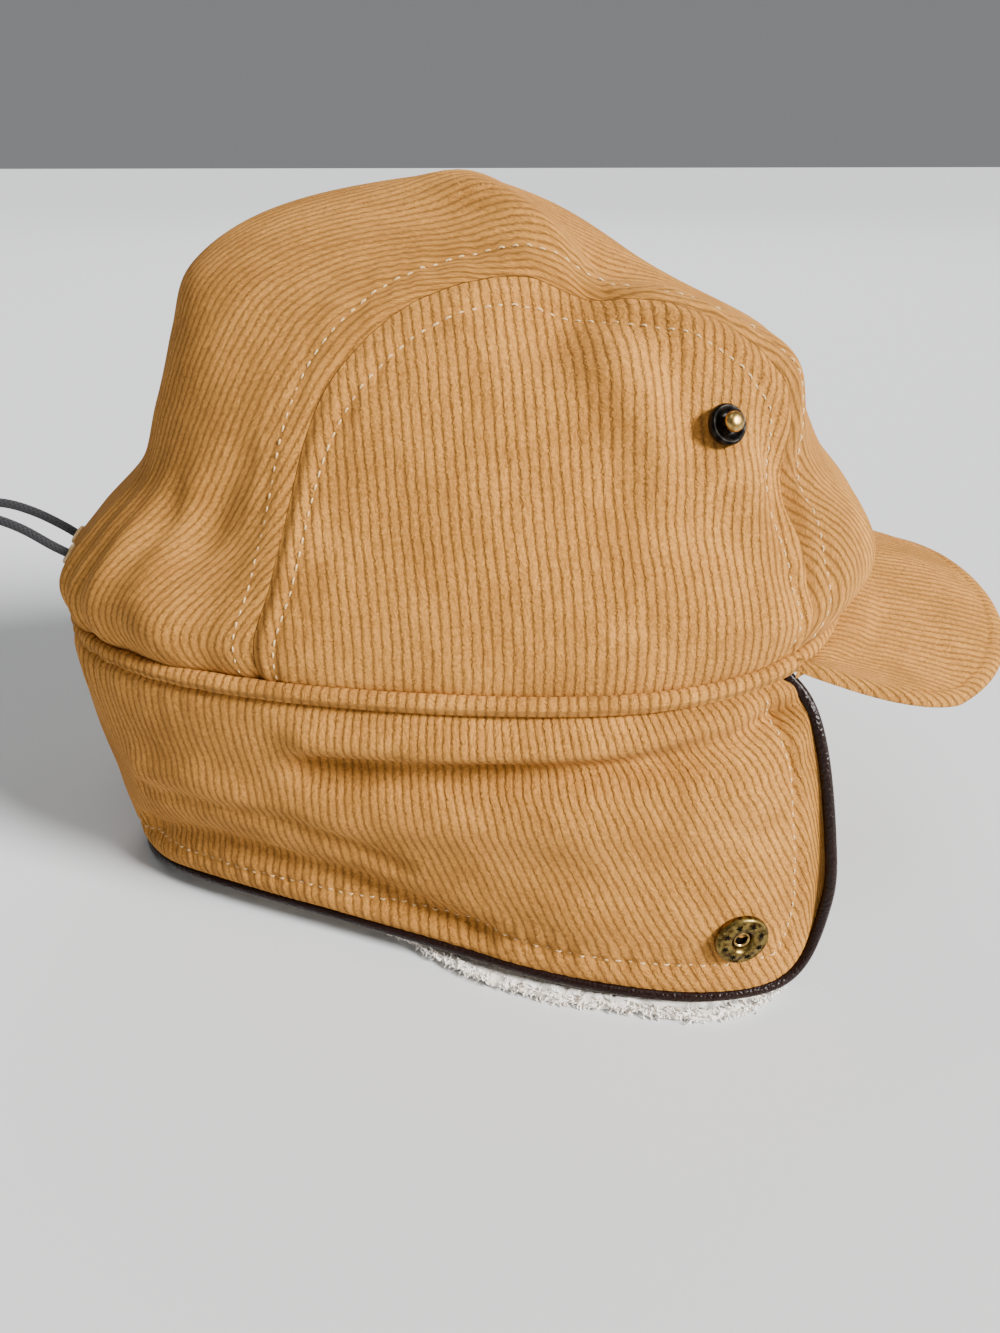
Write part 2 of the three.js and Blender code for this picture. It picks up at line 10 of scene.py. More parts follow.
import bpy
import numpy as np
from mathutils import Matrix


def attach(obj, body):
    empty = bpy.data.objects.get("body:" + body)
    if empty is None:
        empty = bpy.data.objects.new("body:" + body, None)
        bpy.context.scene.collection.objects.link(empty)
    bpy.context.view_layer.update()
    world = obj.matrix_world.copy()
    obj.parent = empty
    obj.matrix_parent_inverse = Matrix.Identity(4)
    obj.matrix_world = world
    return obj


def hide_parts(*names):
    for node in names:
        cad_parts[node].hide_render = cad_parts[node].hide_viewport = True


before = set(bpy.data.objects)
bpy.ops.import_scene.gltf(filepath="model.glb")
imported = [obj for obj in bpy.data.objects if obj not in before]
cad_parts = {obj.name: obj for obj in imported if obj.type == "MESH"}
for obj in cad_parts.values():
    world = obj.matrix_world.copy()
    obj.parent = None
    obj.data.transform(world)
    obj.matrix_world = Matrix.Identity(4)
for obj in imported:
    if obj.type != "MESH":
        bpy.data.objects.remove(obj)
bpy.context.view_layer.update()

# %% [markdown]
# ## Camera, light and floor
#
# The eye is level with the top of the crown and close to it, so the near side looks large.
# Two broad lamps, a soft sun and a pale world take the place of a room with daylight. Corduroy
# needs light that grazes it, or its ribs vanish: so one lamp hangs above the near side, one stands
# behind, and the sun comes in low from the cap's front right.

# %% Camera
EYE = (-0.0452, -0.2755, 0.1958)
PITCH_DOWN = 27.2  # degrees
YAW_RIGHT = 7.0  # degrees
camera = bpy.data.objects.new("camera", bpy.data.cameras.new("camera"))
bpy.context.scene.collection.objects.link(camera)
camera.location = EYE
camera.rotation_euler = (math.radians(90 - PITCH_DOWN), 0, math.radians(-YAW_RIGHT))
camera.data.sensor_width = 36
camera.data.lens = 27.03
camera.data.clip_start = 0.01
bpy.context.scene.camera = camera
print("camera at", EYE)


# %% Colours and nodes
def linear(code):
    """A colour as written on a chart, such as C8924C, turned into light."""
    parts = [int(code[i : i + 2], 16) / 255 for i in (0, 2, 4)]
    return tuple(c / 12.92 if c <= 0.04045 else ((c + 0.055) / 1.055) ** 2.4 for c in parts) + (1,)


def add_node(tree, kind, sockets=None, **settings):
    """One node with its settings; a socket takes a value or the output that feeds it."""
    made = tree.nodes.new(kind)
    for name, value in settings.items():
        setattr(made, name, value)
    for name, value in (sockets or {}).items():
        if isinstance(value, bpy.types.NodeSocket):
            tree.links.new(value, made.inputs[name])
        else:
            made.inputs[name].default_value = value
    return made


def new_material(name, **surface):
    """An empty material; surface gives the shader's plain values."""
    material = bpy.data.materials.new(name)
    material.use_nodes = True
    tree = material.node_tree
    shader = tree.nodes["Principled BSDF"]
    for socket, value in surface.items():
        shader.inputs[socket.replace("_", " ")].default_value = value
    return material, tree, shader


def noise_at(tree, spot, scale, detail, **more):
    """Noise at each place of a map; more gives further sockets."""
    sockets = {"Vector": spot, "Scale": scale, "Detail": detail, **more}
    return add_node(tree, "ShaderNodeTexNoise", sockets).outputs["Fac"]


def tint(tree, shader, share, low, high):
    """Colours the surface from one chart code to the other as share rises."""
    between = {0: share, 6: linear(low), 7: linear(high)}
    mixed = add_node(tree, "ShaderNodeMix", between, data_type="RGBA").outputs[2]
    tree.links.new(mixed, shader.inputs["Base Color"])


def emboss(tree, shader, height, distance, strength):
    """Gives the surface a fine relief, distance in metres."""
    sockets = {"Height": height, "Distance": distance, "Strength": strength}
    relief = add_node(tree, "ShaderNodeBump", sockets).outputs[0]
    tree.links.new(relief, shader.inputs["Normal"])


# %% Lamps and floor
def soft_lamp(name, place, aim, size, power):
    lamp = bpy.data.objects.new(name, bpy.data.lights.new(name, "AREA"))
    bpy.context.scene.collection.objects.link(lamp)
    lamp.data.size = size
    lamp.data.energy = power
    lamp.location = place
    away = np.array(aim) - np.array(place)
    flat = math.hypot(away[0], away[1])
    lamp.rotation_euler = (math.atan2(flat, -away[2]), 0, math.atan2(-away[0], away[1]))
    return lamp


soft_lamp("overhead", (-0.1, -0.7, 2.7), (0, 0, 0.08), 1.2, 14)
soft_lamp("behind", (0.4, 2.2, 2.2), (0, 0, 0.1), 1.4, 22)
# The key comes from so far away that the floor is lit evenly.
key = bpy.data.objects.new("key_right", bpy.data.lights.new("key_right", "SUN"))
bpy.context.scene.collection.objects.link(key)
key.data.energy = 10
key.data.angle = math.radians(16)
key.rotation_euler = (math.radians(60), 0, math.radians(52))

world = bpy.data.worlds.new("pale_room")
world.use_nodes = True
world.node_tree.nodes["Background"].inputs["Color"].default_value = linear("E9ECEE")
world.node_tree.nodes["Background"].inputs["Strength"].default_value = 0.27
bpy.context.scene.world = world

bpy.ops.object.select_all(action="DESELECT")
bpy.ops.mesh.primitive_plane_add(size=30)
floor = bpy.context.object
floor.name = "floor"
paper, _, paper_shader = new_material("paper_floor", Roughness=0.9)
paper_shader.inputs["Base Color"].default_value = linear("D5D6D6")
floor.data.materials.append(paper)
print("two lamps, a sun and a paper floor")

# %% [markdown]
# ## The form of the cap
#
# A cap's crown is a dome whose plan is an egg: a table of rings gives its height and its reach
# forward, back and sideways. A point of the crown is named by its place in a round chart, the unit
# disc seen from above, and a point of the flap by its angle in plan and its share of the drop.
# Such named places carry everything that is sewn on: seams, stitches, folds and snaps.

# %% Sizes, in millimetres
CLOTH = 2.2
GAP = 0.3
HEAD_SPAN = 95  # one unit of the round chart
EGG = 0.28  # how much wider the plan is toward the front
BLUNT = 0.2  # how square the plan is at both ends
FAR_SHARE = 0.5  # share of the right side's folds that the left side repeats
CENTRE_X = 21.191  # middle of the cap's length
BAND_TOP = 2.9
BAND_FOOT = 1.9
BAND_OUT = 1.2
FLAP_START = 47.6  # plan angle of the flap's front edge
PIPING = 1.5
FLAP_BELLY = 2.5
FLAP_FLARE = 0.6  # power of the drop by which the ear corner reaches forward
RIM_DEGREE = 1.45  # millimetres for a degree of plan angle
FLAP_DEPTH = 80
RIM_HEIGHT = 82.8
RIM_RISE = 2  # how much the rim climbs toward the front
TEMPLE_RISE = 10  # further climb from the temples on
TEMPLE_X = 20

# columns: ring, height, reach forward, back and sideways
CROWN = np.array([
    (0.00, 191.2, 0.0, 0.0, 0.0),
    (0.10, 188.4, 19.6, 26.2, 14.0),
    (0.20, 182.3, 38.2, 49.6, 26.0),
    (0.32, 171.7, 58.4, 67.5, 38.9),
    (0.45, 156.8, 79.0, 74.5, 50.4),
    (0.58, 139.7, 88.3, 80.5, 59.7),
    (0.70, 122.9, 96.0, 87.5, 67.7),
    (0.80, 109.5, 105.0, 101.5, 74.5),
    (0.90, 95.8, 109.0, 112.5, 77.5),
    (1.00, 82.8, 101.5, 110.3, 78.4),
])
# columns: plan angle, reach of the hem lengthwise and sideways against the rim, hem height
FLAP = np.array([
    (45, 1.165, 1.2, 56), (47.2, 1.165, 1.207, 36), (48.2, 1.175, 1.21, 24),
    (50, 1.195, 1.213, 13.5), (52, 1.2, 1.215, 8), (58, 1.19, 1.205, 3.3), (66, 1.15, 1.165, 2.5),
    (78, 1.1, 1.09, 2.7), (90, 0.995, 1, 3.4), (105, 0.96, 0.9, 4.4),
    (120, 0.93, 0.84, 5.2), (135, 0.915, 0.815, 5), (150, 0.92, 0.84, 4.4),
    (165, 0.93, 0.9, 2), (180, 0.94, 0.96, 0),
])
# the right seam in the round chart: ahead, aside
SEAM = [
    (-0.511, -0.859), (-0.40, -0.715), (-0.35, -0.59), (-0.26, -0.485), (-0.165, -0.415),
    (-0.055, -0.35), (0.05, -0.315), (0.15, -0.32), (0.25, -0.325), (0.35, -0.33),
    (0.44, -0.35), (0.505, -0.42), (0.55, -0.52), (0.60, -0.61), (0.688, -0.726),
]
# folds: rise, width, path; in the round chart for the crown, in angle and drop for the flap
CROWN_FOLDS = [
    (-5.5, 6, [(0.10, -0.40), (0.16, -0.22)]),
    (7, 9, [(0.27, -0.35), (0.42, -0.31)]),
    (-4.5, 13, [(0.20, -0.10), (0.34, 0.04)]),
    (4, 5.5, [(0.00, -0.09), (0.05, -0.16), (0.08, -0.26)]),
    (3.5, 6, [(0.17, -0.45), (0.28, -0.54), (0.42, -0.52)]),
    (-2.5, 9, [(0.22, -0.62), (0.36, -0.63)]),
    (-4.5, 6, [(0.51, -0.44), (0.56, -0.60)]),
    (2.5, 11, [(0.66, -0.45), (0.76, -0.40)]),
    (-2.5, 6, [(-0.48, -0.60), (-0.60, -0.45)]),
    (2, 7, [(-0.62, -0.62), (-0.72, -0.42)]),
]
FLAP_FOLDS = [
    (2.5, 5, [(114, 0.13), (84, 0.085), (58, 0.02)]),
    (-5.5, 4.5, [(114, 0.255), (84, 0.195), (52, 0.08)]),
    (2.5, 8, [(110, 0.42), (84, 0.38), (60, 0.28)]),
    (-4, 5, [(160, 0.80), (135, 0.72), (112, 0.76), (94, 0.86)]),
    (2, 9, [(148, 0.5), (118, 0.47)]),
    (2, 9, [(78, 0.72), (62, 0.66)]),
]
# small creases that only the cloth has
CROWN_CREASES = [
    (-2, 3.5, [(0.20, -0.385), (0.26, -0.46), (0.31, -0.54)]),
    (1.5, 5, [(0.15, -0.42), (0.21, -0.50), (0.27, -0.58)]),
    (1.8, 3.5, [(0.49, -0.38), (0.555, -0.47), (0.56, -0.58)]),
    (-1.5, 6, [(0.42, -0.56), (0.46, -0.66)]),
    (1.6, 3, [(0.00, -0.14), (0.07, -0.20), (0.13, -0.26), (0.18, -0.31)]),
    (-1.8, 7, [(0.12, -0.12), (0.24, -0.20), (0.34, -0.24)]),
    (-1.2, 4, [(-0.56, -0.58), (-0.50, -0.50), (-0.42, -0.47)]),
    (1.2, 4, [(-0.62, -0.50), (-0.55, -0.42)]),
]
FLAP_CREASES = [
    (-1.8, 3.5, [(150, 0.52), (134, 0.50), (118, 0.50), (104, 0.62)]),
    (1.2, 5, [(148, 0.40), (128, 0.38)]),
    (-1.3, 3, [(92, 0.215), (80, 0.20), (66, 0.18), (54, 0.18)]),
    (1.2, 4, [(100, 0.12), (76, 0.10), (60, 0.09)]),
]
print(len(CROWN), "rings,", len(CROWN_FOLDS) + len(FLAP_FOLDS), "folds")


# %% Curves through tables
def unit(arrows):
    """Arrows of length one, along the last axis."""
    return arrows / np.linalg.norm(arrows, axis=-1, keepdims=True)


def run_of(line):
    """Length along a line of points, from zero at the first one."""
    return np.concatenate([[0], np.cumsum(np.linalg.norm(np.diff(line, axis=0), axis=1))])


def curve_of(rows, up, level=False):
    """A smooth curve through one column of a table; level makes it start level."""
    x, y = rows[:, 0], rows[:, up]
    step = np.diff(x)
    climb = np.diff(y) / step
    slope = np.concatenate([[0 if level else climb[0]], np.zeros(len(x) - 2), [climb[-1]]])
    slope[1:-1] = (step[:-1] * climb[1:] + step[1:] * climb[:-1]) / (step[:-1] + step[1:])

    def value(at):
        at = np.clip(at, x[0], x[-1])
        i = np.clip(np.searchsorted(x, at) - 1, 0, len(step) - 1)
        t = (at - x[i]) / step[i]
        rest = 1 - t
        rising = (1 + 2 * t) * rest**2 * y[i] + t * rest**2 * step[i] * slope[i]
        return rising + t**2 * (3 - 2 * t) * y[i + 1] - t**2 * rest * step[i] * slope[i + 1]

    return value


def smooth_line(points, count=None):
    """A line through points, with count points evenly along it, or about 40 to each span."""
    p = np.asarray(points, float)
    p = np.vstack([2 * p[0] - p[1], p, 2 * p[-1] - p[-2]])
    knot = np.concatenate([[0], np.cumsum(np.linalg.norm(np.diff(p, axis=0), axis=1) ** 0.5)])
    spans = []
    for k in range(1, len(p) - 2):
        t = np.linspace(knot[k], knot[k + 1], 40, endpoint=False)[:, None]

        def between(a, b, first, last):
            share = (t - knot[a]) / (knot[b] - knot[a])
            return first + (last - first) * share

        near = [between(k + i - 1, k + i, p[k + i - 1], p[k + i]) for i in range(3)]
        wide = [between(k - 1, k + 1, near[0], near[1]), between(k, k + 2, near[1], near[2])]
        spans.append(between(k, k + 1, wide[0], wide[1]))
    line = np.vstack(spans + [p[-2:-1]])
    if count is None:
        return line
    run = run_of(line)
    even = np.linspace(0, run[-1], count)
    return np.stack([np.interp(even, run, line[:, i]) for i in range(line.shape[1])], axis=1)


crown_height = curve_of(CROWN, 1, level=True)
crown_front, crown_back, crown_side = (curve_of(CROWN, i) for i in (2, 3, 4))
hem_long, hem_wide, hem_height = (curve_of(FLAP, i) for i in (1, 2, 3))
seam_line = smooth_line(SEAM, 400)
print("the seam has", len(seam_line), "places in the chart")


# %% Surfaces of the crown and the flap
def oval(front, back, side, angle):
    c = np.cos(angle)
    x = (front + back) / 2 * c + (front - back) / 2 * c * c
    return x, side * np.sin(angle) * (1 + EGG * c + BLUNT * c * c)


def distance_to(path, x, y, scale_x, scale_y):
    """Millimetres from each spot to a path of straight spans."""
    nearest = np.full(np.shape(x), 1e9)
    for (ax, ay), (bx, by) in zip(path[:-1], path[1:]):
        dx, dy = (bx - ax) * scale_x, (by - ay) * scale_y
        px, py = (x - ax) * scale_x, (y - ay) * scale_y
        t = np.clip((px * dx + py * dy) / (dx * dx + dy * dy), 0, 1)
        nearest = np.minimum(nearest, np.hypot(px - t * dx, py - t * dy))
    return nearest


def fold_rise(folds, x, y, scale_x, scale_y):
    lift = np.zeros(np.shape(x))
    for rise, width, path in folds:
        lift += rise * np.exp(-((distance_to(path, x, y, scale_x, scale_y) / width) ** 2))
    return lift


def folds_of_crown(folds, ahead, aside):
    """Folds of the round chart, with the left side's share of the right side's."""
    near = fold_rise(folds, ahead, aside, HEAD_SPAN, HEAD_SPAN)
    return near + FAR_SHARE * fold_rise(folds, ahead, -aside, HEAD_SPAN, HEAD_SPAN)


def folds_of_flap(folds, turn, drop):
    near = fold_rise(folds, turn, drop, RIM_DEGREE, FLAP_DEPTH)
    return near + FAR_SHARE * fold_rise(folds, 360 - turn, drop, RIM_DEGREE, FLAP_DEPTH)


def lifted(surface, normal, u, v, rise):
    """Points of a surface, raised along its normal."""
    return surface(u, v) + normal(u, v) * rise[..., None]


def outward(surface, u, v, step_u, step_v):
    along_u = surface(u + step_u, v) - surface(u - step_u, v)
    along_v = surface(u, v + step_v) - surface(u, v - step_v)
    return unit(np.cross(along_u, along_v))


def rim_climb(x):
    return RIM_RISE * x / 100 + TEMPLE_RISE * (np.maximum(x - TEMPLE_X, 0) / 100) ** 2


def plain_crown(ahead, aside):
    ring = np.hypot(ahead, aside)
    angle = np.arctan2(aside, ahead)
    x, y = oval(crown_front(ring), crown_back(ring), crown_side(ring), angle)
    return np.stack([x, y, crown_height(ring) + ring * ring * rim_climb(x)], axis=-1)


def crown_normal(ahead, aside):
    return outward(plain_crown, ahead, aside, 0.004, 0.004)


def crown_point(ahead, aside):
    rise = folds_of_crown(CROWN_FOLDS, ahead, aside)
    return lifted(plain_crown, crown_normal, ahead, aside, rise)


def rim_point(turn):
    """Rim line; turn runs 0 to 360 degrees from the front by way of the right side."""
    x, y = oval(CROWN[-1, 2], CROWN[-1, 3], CROWN[-1, 4], np.radians(turn))
    return np.stack([x, -y, RIM_HEIGHT + rim_climb(x)], axis=-1)


def rim_normal(turn):
    along = rim_point(turn + 1) - rim_point(turn - 1)
    return unit(np.stack([-along[..., 1], along[..., 0], np.zeros(np.shape(turn))], axis=-1))


def plain_flap(turn, drop):
    side = np.minimum(turn, 360 - turn)
    rim = rim_point(turn)
    top = rim[..., 2] - BAND_FOOT - GAP
    swell = 1 + FLAP_BELLY / HEAD_SPAN * np.sin(np.pi * np.sqrt(np.maximum(drop, 0)))
    long = hem_long(side) - 1
    x = rim[..., 0] * (1 + long * np.maximum(drop, 0) ** np.where(long > 0, FLAP_FLARE, 1)) * swell
    y = rim[..., 1] * (1 + (hem_wide(side) - 1) * drop) * swell
    return np.stack([x, y, top + (hem_height(side) - top) * drop], axis=-1)


def flap_normal(turn, drop):
    return outward(plain_flap, turn, np.maximum(drop, 0.03), 0.5, 0.02)


def flap_point(turn, drop):
    calm = np.minimum(1, drop * 12) * np.minimum(1, (1.02 - drop) * 8)
    rise = folds_of_flap(FLAP_FOLDS, turn, drop) * calm
    return lifted(plain_flap, flap_normal, turn, drop, rise)


def drop_above(turn, rise):
    """Share of the drop that lies a number of millimetres above the hem."""
    top, foot = (plain_flap(turn, 0.0 * turn + share)[..., 2] for share in (0, 1))
    return 1 - rise / (top - foot)


def in_metres(points):
    """From the pattern's millimetres to the scene, with the middle of the cap's length at zero."""
    return (np.asarray(points) - np.array([CENTRE_X, 0, 0])) / 1000


print("top of the crown, in metres:", in_metres(crown_point(np.array(0.0), np.array(0.0))))

# %% [markdown]
# ## The drawcord
#
# Two strands of round black elastic come out of the centre back and meet in a lock: it is one
# piece of cord, threaded through the back of the crown, so both ends go back into the cap. It
# springs out of its holes, droops to the table and lies there through the lock. A tube that
# follows a smooth line is the simplest true form, and its pattern runs along it, so that the
# fine braid can follow every bend.

# %% The cord's route
CORD = 1.25  # radius
HOLE_SPOT = (-0.862, 0.085)  # round chart, hole of the left strand
STRAND = [
    (-120.5, 6.8, 106.5), (-128, 6.2, 109.5), (-135.5, 5.5, 109.8), (-143, 4.8, 106.5),
    (-149, 4.2, 99.5), (-155, 3.8, 88), (-159.5, 3.4, 74), (-163, 3.0, 58), (-166, 2.7, 42),
    (-169.5, 2.5, 26), (-174.5, 2.3, 12.5), (-182.5, 2.3, 5.2),
]
LOCK_THROUGH = [(-187, 2.3, 4), (-193.5, 2.3, 4), (-201.5, 2.3, 4)]
LOOP = [(-203, 2.4, 3.8), (-209, 4.2, 2.4), (-215.5, 6.0, 1.4), (-221.5, 4.9, 1.3)]
LOOP_TIP = (-224, 0, 1.3)
hole_spot = [np.array(number) for number in HOLE_SPOT]
hole, hole_out = crown_point(*hole_spot), crown_normal(*hole_spot)
left_half = [hole + hole_out * away for away in (1.3 * GAP, 4)] + STRAND + LOCK_THROUGH + LOOP
right_half = [(x, -y, z) for x, y, z in left_half]
cord_route = smooth_line([*right_half, LOOP_TIP, *reversed(left_half)], 261)


# %% A tube along a line
def show_only(piece):
    bpy.ops.object.select_all(action="DESELECT")
    piece.select_set(True)
    bpy.context.view_layer.objects.active = piece


def places_of(mesh):
    places = np.zeros(len(mesh.vertices) * 3)
    mesh.vertices.foreach_get("co", places)
    return places.reshape(-1, 3)


def lay_map(mesh, pattern):
    """Gives each point its place on the flat cloth."""
    corners = np.zeros(len(mesh.loops), dtype=int)
    mesh.loops.foreach_get("vertex_index", corners)
    spots = np.asarray(pattern).reshape(-1, 2)[corners]
    mesh.uv_layers["cloth"].data.foreach_set("uv", spots.ravel())


def mesh_piece(name, points, faces, pattern=None, smooth=30):
    """A piece from points in millimetres; pattern is a place on the cloth for each point, in cm."""
    mesh = bpy.data.meshes.new(name)
    mesh.from_pydata(in_metres(points).tolist(), [], faces)
    piece = bpy.data.objects.new(name, mesh)
    bpy.context.scene.collection.objects.link(piece)
    if pattern is not None:
        mesh.uv_layers.new(name="cloth")
        lay_map(mesh, pattern)
    show_only(piece)
    bpy.ops.object.shade_smooth_by_angle(angle=math.radians(smooth))
    return piece


def tube_rings(line, radius, sides):
    """Rings of points round a line, turned as little as the line allows, and their pattern."""
    line = np.asarray(line, float)
    along = unit(np.gradient(line, axis=0))
    side = np.cross(along[0], (0, 0, 1) if abs(along[0, 2]) < 0.9 else (1, 0, 0))
    rings = []
    for here, ahead in zip(line, along):
        side = unit(side - ahead * side.dot(ahead))
        up = np.cross(ahead, side)
        angles = np.arange(sides) * 2 * np.pi / sides
        rings.append(np.outer(np.cos(angles), side) + np.outer(np.sin(angles), up))
    width = np.broadcast_to(np.asarray(radius, float), (len(line),))
    points = line[:, None, :] + np.array(rings) * width[:, None, None]
    run = run_of(line)
    spots = np.stack(np.meshgrid(run / 10, np.arange(sides) / sides, indexing="ij"), axis=-1)
    return points.reshape(-1, 3), spots.reshape(-1, 2)


def ring_faces(rings, sides, first=0):
    """Faces of a tube, closed at both ends."""
    faces = []
    for i in range(rings - 1):
        for k in range(sides):
            a, b = first + i * sides + k, first + i * sides + (k + 1) % sides
            faces.append((a, b, b + sides, a + sides))
    last = first + (rings - 1) * sides
    near_end, far_end = range(first + sides - 1, first - 1, -1), range(last, last + sides)
    return faces + [tuple(near_end), tuple(far_end)]


def tube(name, line, radius, sides=16):
    points, spots = tube_rings(line, radius, sides)
    return mesh_piece(name, points, ring_faces(len(line), sides), spots, smooth=60)


# %% The cord and its lock
drawcord = tube("elastic_drawcord", cord_route, CORD, sides=14)
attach(drawcord, "root")
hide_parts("drawcord")
print("cord tube:", len(drawcord.data.vertices), "points")

# %% [markdown]
# ## Corduroy
#
# Cotton corduroy is a plain ground cloth with rows of cut pile, the wales. Here there are 11 of
# them to the inch, 2.3 mm each. The pile stands up like a brush, so the cloth has no gloss and
# glows at grazing angles; where the pile leans to the eye it turns darker, and these patches of
# sheen are painted into its colour. Between the wales the bare ground shows as a thin dark line
# with its weft as small ticks, darkened further with painted shade in the groove. The pattern is
# read from a map in centimetres of flat cloth that each piece carries, so that wales follow each
# panel's own cut.


# %% Corduroy material
def corduroy(name, pile, dark, ground, wale=0.23):
    """Wales run along the map's second direction; wale is their spacing in centimetres."""
    made, tree, shader = new_material(
        name, Roughness=0.9, Specular_IOR_Level=0.1, Sheen_Weight=0.2, Sheen_Roughness=0.3
    )
    shader.inputs["Sheen Tint"].default_value = linear("FFC478")

    def maths(operation, *values):
        return add_node(
            tree, "ShaderNodeMath", dict(enumerate(values)), operation=operation
        ).outputs[0]

    def blend(share, first, second):
        colours = {0: share, 6: first, 7: second}
        return add_node(
            tree, "ShaderNodeMix", colours, data_type="RGBA", clamp_factor=True
        ).outputs[2]

    flat = add_node(tree, "ShaderNodeUVMap", uv_map="cloth").outputs[0]
    axes = add_node(tree, "ShaderNodeSeparateXYZ", {"Vector": flat})
    across, along = axes.outputs["X"], axes.outputs["Y"]

    def noise(scale, detail, squeeze=(1, 1, 1), bent=0.0):
        spot = add_node(tree, "ShaderNodeMapping", {"Vector": flat, "Scale": squeeze}).outputs[0]
        return noise_at(tree, spot, scale, detail, Roughness=0.62, Distortion=bent)

    # The ribs: rounded tops, narrow valleys that wander, crossed by the weft.
    wander = maths("MULTIPLY_ADD", noise(1.6, 2), 0.1, -0.05)
    ragged = maths("MULTIPLY_ADD", noise(15, 3), 0.16, -0.08)
    turns = maths("DIVIDE", maths("ADD", maths("ADD", across, wander), ragged), wale)
    from_half = maths("ABSOLUTE", maths("SUBTRACT", maths("FRACT", turns), 0.5))
    from_middle = maths("MULTIPLY", from_half, 2)
    groove = maths("POWER", from_middle, 5.0)
    valley = maths("POWER", from_middle, 2.0)
    weft_slip = maths("MULTIPLY", noise(6, 2), 5.0)
    weft = maths("SINE", maths("MULTIPLY_ADD", along, 66, weft_slip))
    weft = maths("MULTIPLY_ADD", weft, 0.5, 0.5)

    # The pile: tufts, single fibres, painted sheen patches where the nap leans, and rubbed streaks.
    tufts = noise(12, 4, (1, 0.8, 1), 0.6)
    fibres = noise(42, 3)
    # Painted sheen: broad patches where the nap leans to the eye, lighter and darker in the colour.
    painted_sheen_patches = noise(0.5, 3, (1, 0.8, 1), 0.4)
    worn = noise(3.2, 4, (1.5, 0.6, 1), 0.5)
    shade = maths("MULTIPLY_ADD", painted_sheen_patches, 1.3, -0.3)
    shade = maths("ADD", shade, maths("MULTIPLY_ADD", worn, 0.6, -0.3))
    shade = maths("ADD", shade, maths("MULTIPLY_ADD", tufts, 1.7, -0.85))
    shade = maths("ADD", shade, maths("MULTIPLY_ADD", fibres, 0.7, -0.35))
    # Painted shade: each wale's colour darkens down its flanks into the valley.
    shade = maths("MULTIPLY_ADD", valley, -0.3, shade)
    # The pile's colour, with the painted sheen patches and the painted valley shade mixed in.
    brushed = blend(shade, linear(dark), linear(pile))
    # The groove takes the ground colour: the bare ground cloth, partly its own tone and partly
    # painted shade in the narrow groove, broken by the weft's ticks.
    broken = maths("MULTIPLY_ADD", noise(5, 3), 1.6, -0.3)
    ticks = maths("MULTIPLY", maths("MULTIPLY_ADD", weft, 0.5, 0.12), broken)
    deep = maths("MULTIPLY", groove, ticks)
    tree.links.new(blend(deep, brushed, linear(ground)), shader.inputs["Base Color"])

    height = maths("MULTIPLY_ADD", groove, -0.75, maths("MULTIPLY", tufts, 0.9))
    height = maths("MULTIPLY_ADD", valley, -0.25, height)
    height = maths("MULTIPLY_ADD", fibres, 0.4, height)
    emboss(tree, shader, height, 0.0009, 0.85)
    return made


# ground is the groove's colour: the bare ground cloth's tone, deepened with painted shade.
camel = corduroy("cotton_corduroy_dyed_camel", pile="E9A34E", dark="A66F30", ground="6E431E")
print("corduroy with", len(camel.node_tree.nodes), "nodes")


# %% The back of the cloth
# The wrong side of corduroy is the bare ground cloth: a flat, dull twill a shade lighter.
def cloth_back(name):
    made, tree, shader = new_material(name, Roughness=0.95, Specular_IOR_Level=0.1)
    flat = add_node(tree, "ShaderNodeUVMap", uv_map="cloth").outputs[0]
    slanted = add_node(
        tree, "ShaderNodeMapping", {"Vector": flat, "Rotation": (0, 0, math.radians(63))}
    ).outputs[0]
    twill = add_node(
        tree, "ShaderNodeTexWave", {"Vector": slanted, "Scale": 3.2, "Distortion": 0.6}
    ).outputs["Fac"]
    tint(tree, shader, twill, "9A7442", "B98F58")
    emboss(tree, shader, twill, 0.0002, 0.6)
    return made


twill_back = cloth_back("cotton_twill_ground")
print("twill back ready")

# %% [markdown]
# ## Crown panels
#
# The crown is a wide strip from the peak over the top to the back, between two side panels. A
# cut panel is a flat sheet that is pulled into the dome, so each starts as a plain grid. Its
# points are moved on to the crown, the cloth gets its thickness inward, and the map keeps how
# far each point lies from the panel's middle, measured over the cloth. Seams draw the cloth in:
# it dips at the seam, swells beside it and dips again under each row of topstitching.


# %% A sheet of cloth
SHEET_WALL = 2.0  # thickness of a sheet as it is seen, millimetres


def cloth_sheet(name, columns, rows, form, wall, finishes, slot, *cad_nodes):
    """form moves the grid's two shares to points in millimetres, and gives their map in cm."""
    bpy.ops.object.select_all(action="DESELECT")
    bpy.ops.mesh.primitive_grid_add(x_subdivisions=columns, y_subdivisions=rows, size=2)
    piece = bpy.context.object
    piece.name = piece.data.name = name
    mesh = piece.data
    flat = places_of(mesh)
    width = len(np.unique(flat[:, 0].round(5)))
    shares = (flat[:, :2] / 2 + 0.5).reshape(-1, width, 2)
    points, pattern = form(shares[..., 0], shares[..., 1])
    mesh.vertices.foreach_set("co", in_metres(points).ravel())
    mesh.uv_layers[0].name = "cloth"
    lay_map(mesh, pattern)
    area = sum(face.area for face in mesh.polygons)
    for finish in finishes:
        mesh.materials.append(finish)
    if wall:
        thick = piece.modifiers.new("wall", "SOLIDIFY")
        thick.thickness = wall / 1000
        thick.offset = -1
        thick.material_offset = len(finishes) - 1
        bpy.ops.object.modifier_apply(modifier=thick.name)
    bpy.ops.object.shade_smooth_by_angle(angle=math.radians(50))
    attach(piece, "root")
    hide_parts(*cad_nodes)
    print(f"{name}: {len(mesh.polygons)} faces, {area * 1e4:.0f} cm2 of cloth")
    return piece, area


